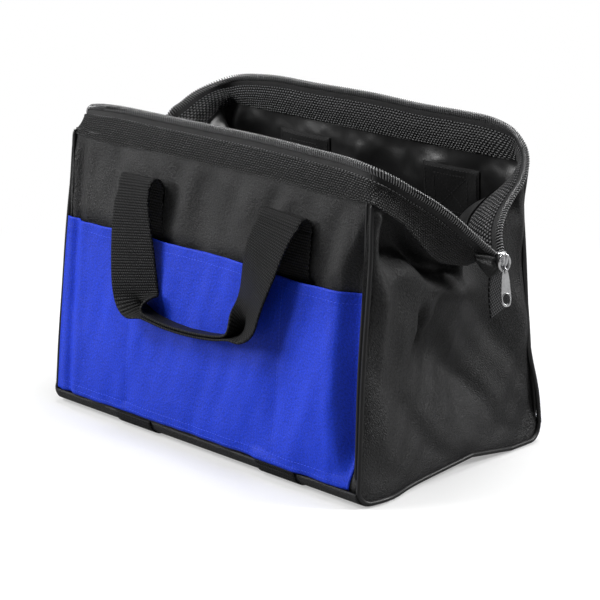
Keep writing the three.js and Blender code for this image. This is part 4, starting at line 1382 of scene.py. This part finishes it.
def make_floor():
    """A pale floor that takes the bag's shadow and turns into the white backdrop further out. It
    throws back less light than the camera sees, like the dark room round a lit table."""
    corners = np.array([[-1, -1, 0], [1, -1, 0], [1, 1, 0], [-1, 1, 0]])
    points = corners * FLOOR_HALF / MM
    shader = Shader("studio_floor", (0.9, 0.9, 0.9), 0.75, specular=0.05)
    tree = shader.tree
    seen = tree.nodes.new("ShaderNodeLightPath").outputs["Is Camera Ray"]
    shader.tint(seen, FLOOR_RETURN, 1.0, 0.0, 1.0)
    away = tree.nodes.new("ShaderNodeVectorMath")
    away.operation = "LENGTH"
    shader.put(away.inputs[0], shader.object_place())
    fade = tree.nodes.new("ShaderNodeMapRange")
    fade.interpolation_type = "SMOOTHSTEP"
    shader.put(fade.inputs[0], away.outputs["Value"])
    fade.inputs["From Min"].default_value = FADE_FROM
    fade.inputs["From Max"].default_value = FADE_TO
    fade.inputs["To Min"].default_value = FLOOR_WHITE
    white = tree.nodes.new("ShaderNodeEmission")
    mix = tree.nodes.new("ShaderNodeMixShader")
    shader.put(mix.inputs[0], shader.math("MULTIPLY", fade.outputs[0], seen))
    shader.put(mix.inputs[1], shader.surface.outputs[0])
    shader.put(mix.inputs[2], white.outputs[0])
    shader.put(shader.output.inputs["Surface"], mix.outputs[0])
    floor = make_mesh("studio_floor", points, np.array([[0, 1, 2, 3]]), shader.material)
    floor.location.z = -0.0008


def make_lamp(name, place, size, power):
    """A soft rectangular lamp that faces the middle of the bag."""
    light = bpy.data.lights.new(name, "AREA")
    light.shape = "RECTANGLE"
    light.size, light.size_y = size
    light.energy = power
    lamp = bpy.data.objects.new(name, light)
    bpy.context.scene.collection.objects.link(lamp)
    lamp.location = place
    lamp.rotation_euler = (LAMP_AIM - Vector(place)).to_track_quat("-Z", "Y").to_euler()


def make_world():
    """White backdrop for the camera, and a soft even light on the object."""
    world = bpy.data.worlds.new("studio")
    bpy.context.scene.world = world
    world.use_nodes = True
    tree = world.node_tree
    tree.nodes.clear()
    output = tree.nodes.new("ShaderNodeOutputWorld")
    mix = tree.nodes.new("ShaderNodeMixShader")
    path = tree.nodes.new("ShaderNodeLightPath")
    soft = tree.nodes.new("ShaderNodeBackground")
    white = tree.nodes.new("ShaderNodeBackground")
    soft.inputs["Color"].default_value = (0.96, 0.98, 1.0, 1)
    soft.inputs["Strength"].default_value = SOFT_LIGHT
    white.inputs["Color"].default_value = (1, 1, 1, 1)
    white.inputs["Strength"].default_value = 1.0
    tree.links.new(path.outputs["Is Camera Ray"], mix.inputs[0])
    tree.links.new(soft.outputs[0], mix.inputs[1])
    tree.links.new(white.outputs[0], mix.inputs[2])
    tree.links.new(mix.outputs[0], output.inputs[0])


def make_camera(stage):
    """A long lens at the photograph's angle, aimed at the middle of the bag."""
    a, e = stage.azimuth, stage.elevation
    toward = np.array([math.sin(a) * math.cos(e), -math.cos(a) * math.cos(e), math.sin(e)])
    data = bpy.data.cameras.new("camera")
    data.sensor_width = SENSOR
    data.lens = LENS
    data.shift_x, data.shift_y = SHIFT
    data.clip_end = 50
    camera = bpy.data.objects.new("camera", data)
    bpy.context.scene.collection.objects.link(camera)
    camera.location = CAMERA_AIM + toward * stage.distance
    camera.rotation_euler = Vector(-toward).to_track_quat("-Z", "Y").to_euler()
    bpy.context.scene.camera = camera


# Properties, operators and panel

class ToolBagLook(bpy.types.PropertyGroup):
    """Colours of the bag."""

    black_cloth: FloatVectorProperty(
        name="Black cloth", description="Colour of the walls and ends", subtype="COLOR", size=3,
        default=(0.020, 0.020, 0.0205), min=0, max=1)
    blue_cloth: FloatVectorProperty(
        name="Pocket cloth", description="Colour of the pocket panels", subtype="COLOR", size=3,
        default=(0.010, 0.047, 0.63), min=0, max=1)


class ToolBagStage(bpy.types.PropertyGroup):
    """Camera and lamps."""

    azimuth: FloatProperty(
        name="Azimuth", description="Camera's turn about the vertical from the front", subtype="ANGLE",
        unit="ROTATION", default=math.radians(44.846))
    elevation: FloatProperty(
        name="Elevation", description="Camera's angle above the floor", subtype="ANGLE", unit="ROTATION",
        default=math.radians(16.401))
    distance: FloatProperty(
        name="Distance", description="From the camera to the middle of the bag", subtype="DISTANCE",
        unit="LENGTH", default=1.912, min=0.5)
    light: FloatProperty(
        name="Lamp power", description="Scales all the studio lamps", default=1.0, min=0)


class TOOLBAG_OT_materials(bpy.types.Operator):
    """Makes the bag's materials"""

    bl_idname = "toolbag.materials"
    bl_label = "Bag Materials"

    def execute(self, context):
        MATERIALS.update(make_materials(context.scene.tool_bag_look))
        return {"FINISHED"}


def need_materials():
    """Raises an error where the bag's materials haven't been made."""
    if not MATERIALS:
        raise RuntimeError("make the bag's materials first")


class TOOLBAG_OT_walls(bpy.types.Operator):
    """Makes the two long walls"""

    bl_idname = "toolbag.walls"
    bl_label = "Walls"

    def execute(self, context):
        need_materials()
        for facing in FACING:
            make_wall(facing)
        return {"FINISHED"}


class TOOLBAG_OT_ends(bpy.types.Operator):
    """Makes the two end cloths"""

    bl_idname = "toolbag.ends"
    bl_label = "Ends"

    def execute(self, context):
        need_materials()
        for side in SIDES:
            make_end(side)
        return {"FINISHED"}


class TOOLBAG_OT_base(bpy.types.Operator):
    """Makes the base cloth and the board's cover"""

    bl_idname = "toolbag.base"
    bl_label = "Base"

    def execute(self, context):
        need_materials()
        make_base()
        make_board_cover()
        return {"FINISHED"}


class TOOLBAG_OT_pockets(bpy.types.Operator):
    """Makes the pocket panels and their stitches"""

    bl_idname = "toolbag.pockets"
    bl_label = "Pockets"

    def execute(self, context):
        need_materials()
        for facing in FACING:
            make_pocket(facing)
        return {"FINISHED"}


class TOOLBAG_OT_mouth(bpy.types.Operator):
    """Makes the band, the zip tapes and the coils"""

    bl_idname = "toolbag.mouth"
    bl_label = "Mouth"

    def execute(self, context):
        need_materials()
        for facing in FACING:
            make_mouth(facing)
        return {"FINISHED"}


class TOOLBAG_OT_piping(bpy.types.Operator):
    """Makes the piping cords"""

    bl_idname = "toolbag.piping"
    bl_label = "Piping"

    def execute(self, context):
        need_materials()
        make_pipings()
        return {"FINISHED"}


class TOOLBAG_OT_straps(bpy.types.Operator):
    """Makes the webbing round the bag"""

    bl_idname = "toolbag.straps"
    bl_label = "Straps"

    def execute(self, context):
        need_materials()
        make_straps()
        return {"FINISHED"}


class TOOLBAG_OT_patches(bpy.types.Operator):
    """Makes the stitched patches inside"""

    bl_idname = "toolbag.patches"
    bl_label = "Patches"

    def execute(self, context):
        need_materials()
        make_patches()
        return {"FINISHED"}


class TOOLBAG_OT_handles(bpy.types.Operator):
    """Makes the two carrying handles"""

    bl_idname = "toolbag.handles"
    bl_label = "Handles"

    def execute(self, context):
        need_materials()
        for facing in FACING:
            make_handle(facing)
        return {"FINISHED"}


class TOOLBAG_OT_zip_end(bpy.types.Operator):
    """Makes the slider, its pull and the webbing tabs"""

    bl_idname = "toolbag.zip_end"
    bl_label = "Zip Ends"

    def execute(self, context):
        need_materials()
        make_zip_end()
        return {"FINISHED"}


class TOOLBAG_OT_stage(bpy.types.Operator):
    """Makes the floor, the lamps, the backdrop and the camera"""

    bl_idname = "toolbag.stage"
    bl_label = "Studio"

    def execute(self, context):
        stage = context.scene.tool_bag_stage
        make_floor()
        make_world()
        for name, place, size, power in LAMPS:
            make_lamp(name, place, size, power * stage.light)
        make_camera(stage)
        context.scene.view_settings.view_transform = "Standard"
        return {"FINISHED"}


OPERATORS = [TOOLBAG_OT_materials, TOOLBAG_OT_walls, TOOLBAG_OT_ends, TOOLBAG_OT_base,
             TOOLBAG_OT_pockets, TOOLBAG_OT_mouth, TOOLBAG_OT_piping, TOOLBAG_OT_straps,
             TOOLBAG_OT_patches, TOOLBAG_OT_handles, TOOLBAG_OT_zip_end, TOOLBAG_OT_stage]


class TOOLBAG_PT_panel(bpy.types.Panel):
    """The bag's settings and makers in the 3D view's sidebar"""

    bl_label = "Tool Bag"
    bl_idname = "TOOLBAG_PT_panel"
    bl_space_type = "VIEW_3D"
    bl_region_type = "UI"
    bl_category = "Tool Bag"

    def draw(self, context):
        look = context.scene.tool_bag_look
        stage = context.scene.tool_bag_stage
        for name in ("black_cloth", "blue_cloth"):
            self.layout.prop(look, name)
        for name in ("azimuth", "elevation", "distance", "light"):
            self.layout.prop(stage, name)
        for operator in OPERATORS:
            self.layout.operator(operator.bl_idname)


CLASSES = [ToolBagLook, ToolBagStage, *OPERATORS, TOOLBAG_PT_panel]


def register():
    """Registers the classes and hangs both groups of settings on the scene."""
    for cls in CLASSES:
        bpy.utils.register_class(cls)
    bpy.types.Scene.tool_bag_look = PointerProperty(type=ToolBagLook)
    bpy.types.Scene.tool_bag_stage = PointerProperty(type=ToolBagStage)


def unregister():
    """Takes back what register did."""
    del bpy.types.Scene.tool_bag_stage
    del bpy.types.Scene.tool_bag_look
    for cls in reversed(CLASSES):
        bpy.utils.unregister_class(cls)


def main():
    """Builds the studio and the bag."""
    register()
    makers = bpy.ops.toolbag
    makers.stage()
    makers.materials()
    makers.walls()
    makers.ends()
    makers.base()
    makers.pockets()
    makers.mouth()
    makers.piping()
    makers.straps()
    makers.patches()
    makers.handles()
    makers.zip_end()


if __name__ == "__main__":
    main()
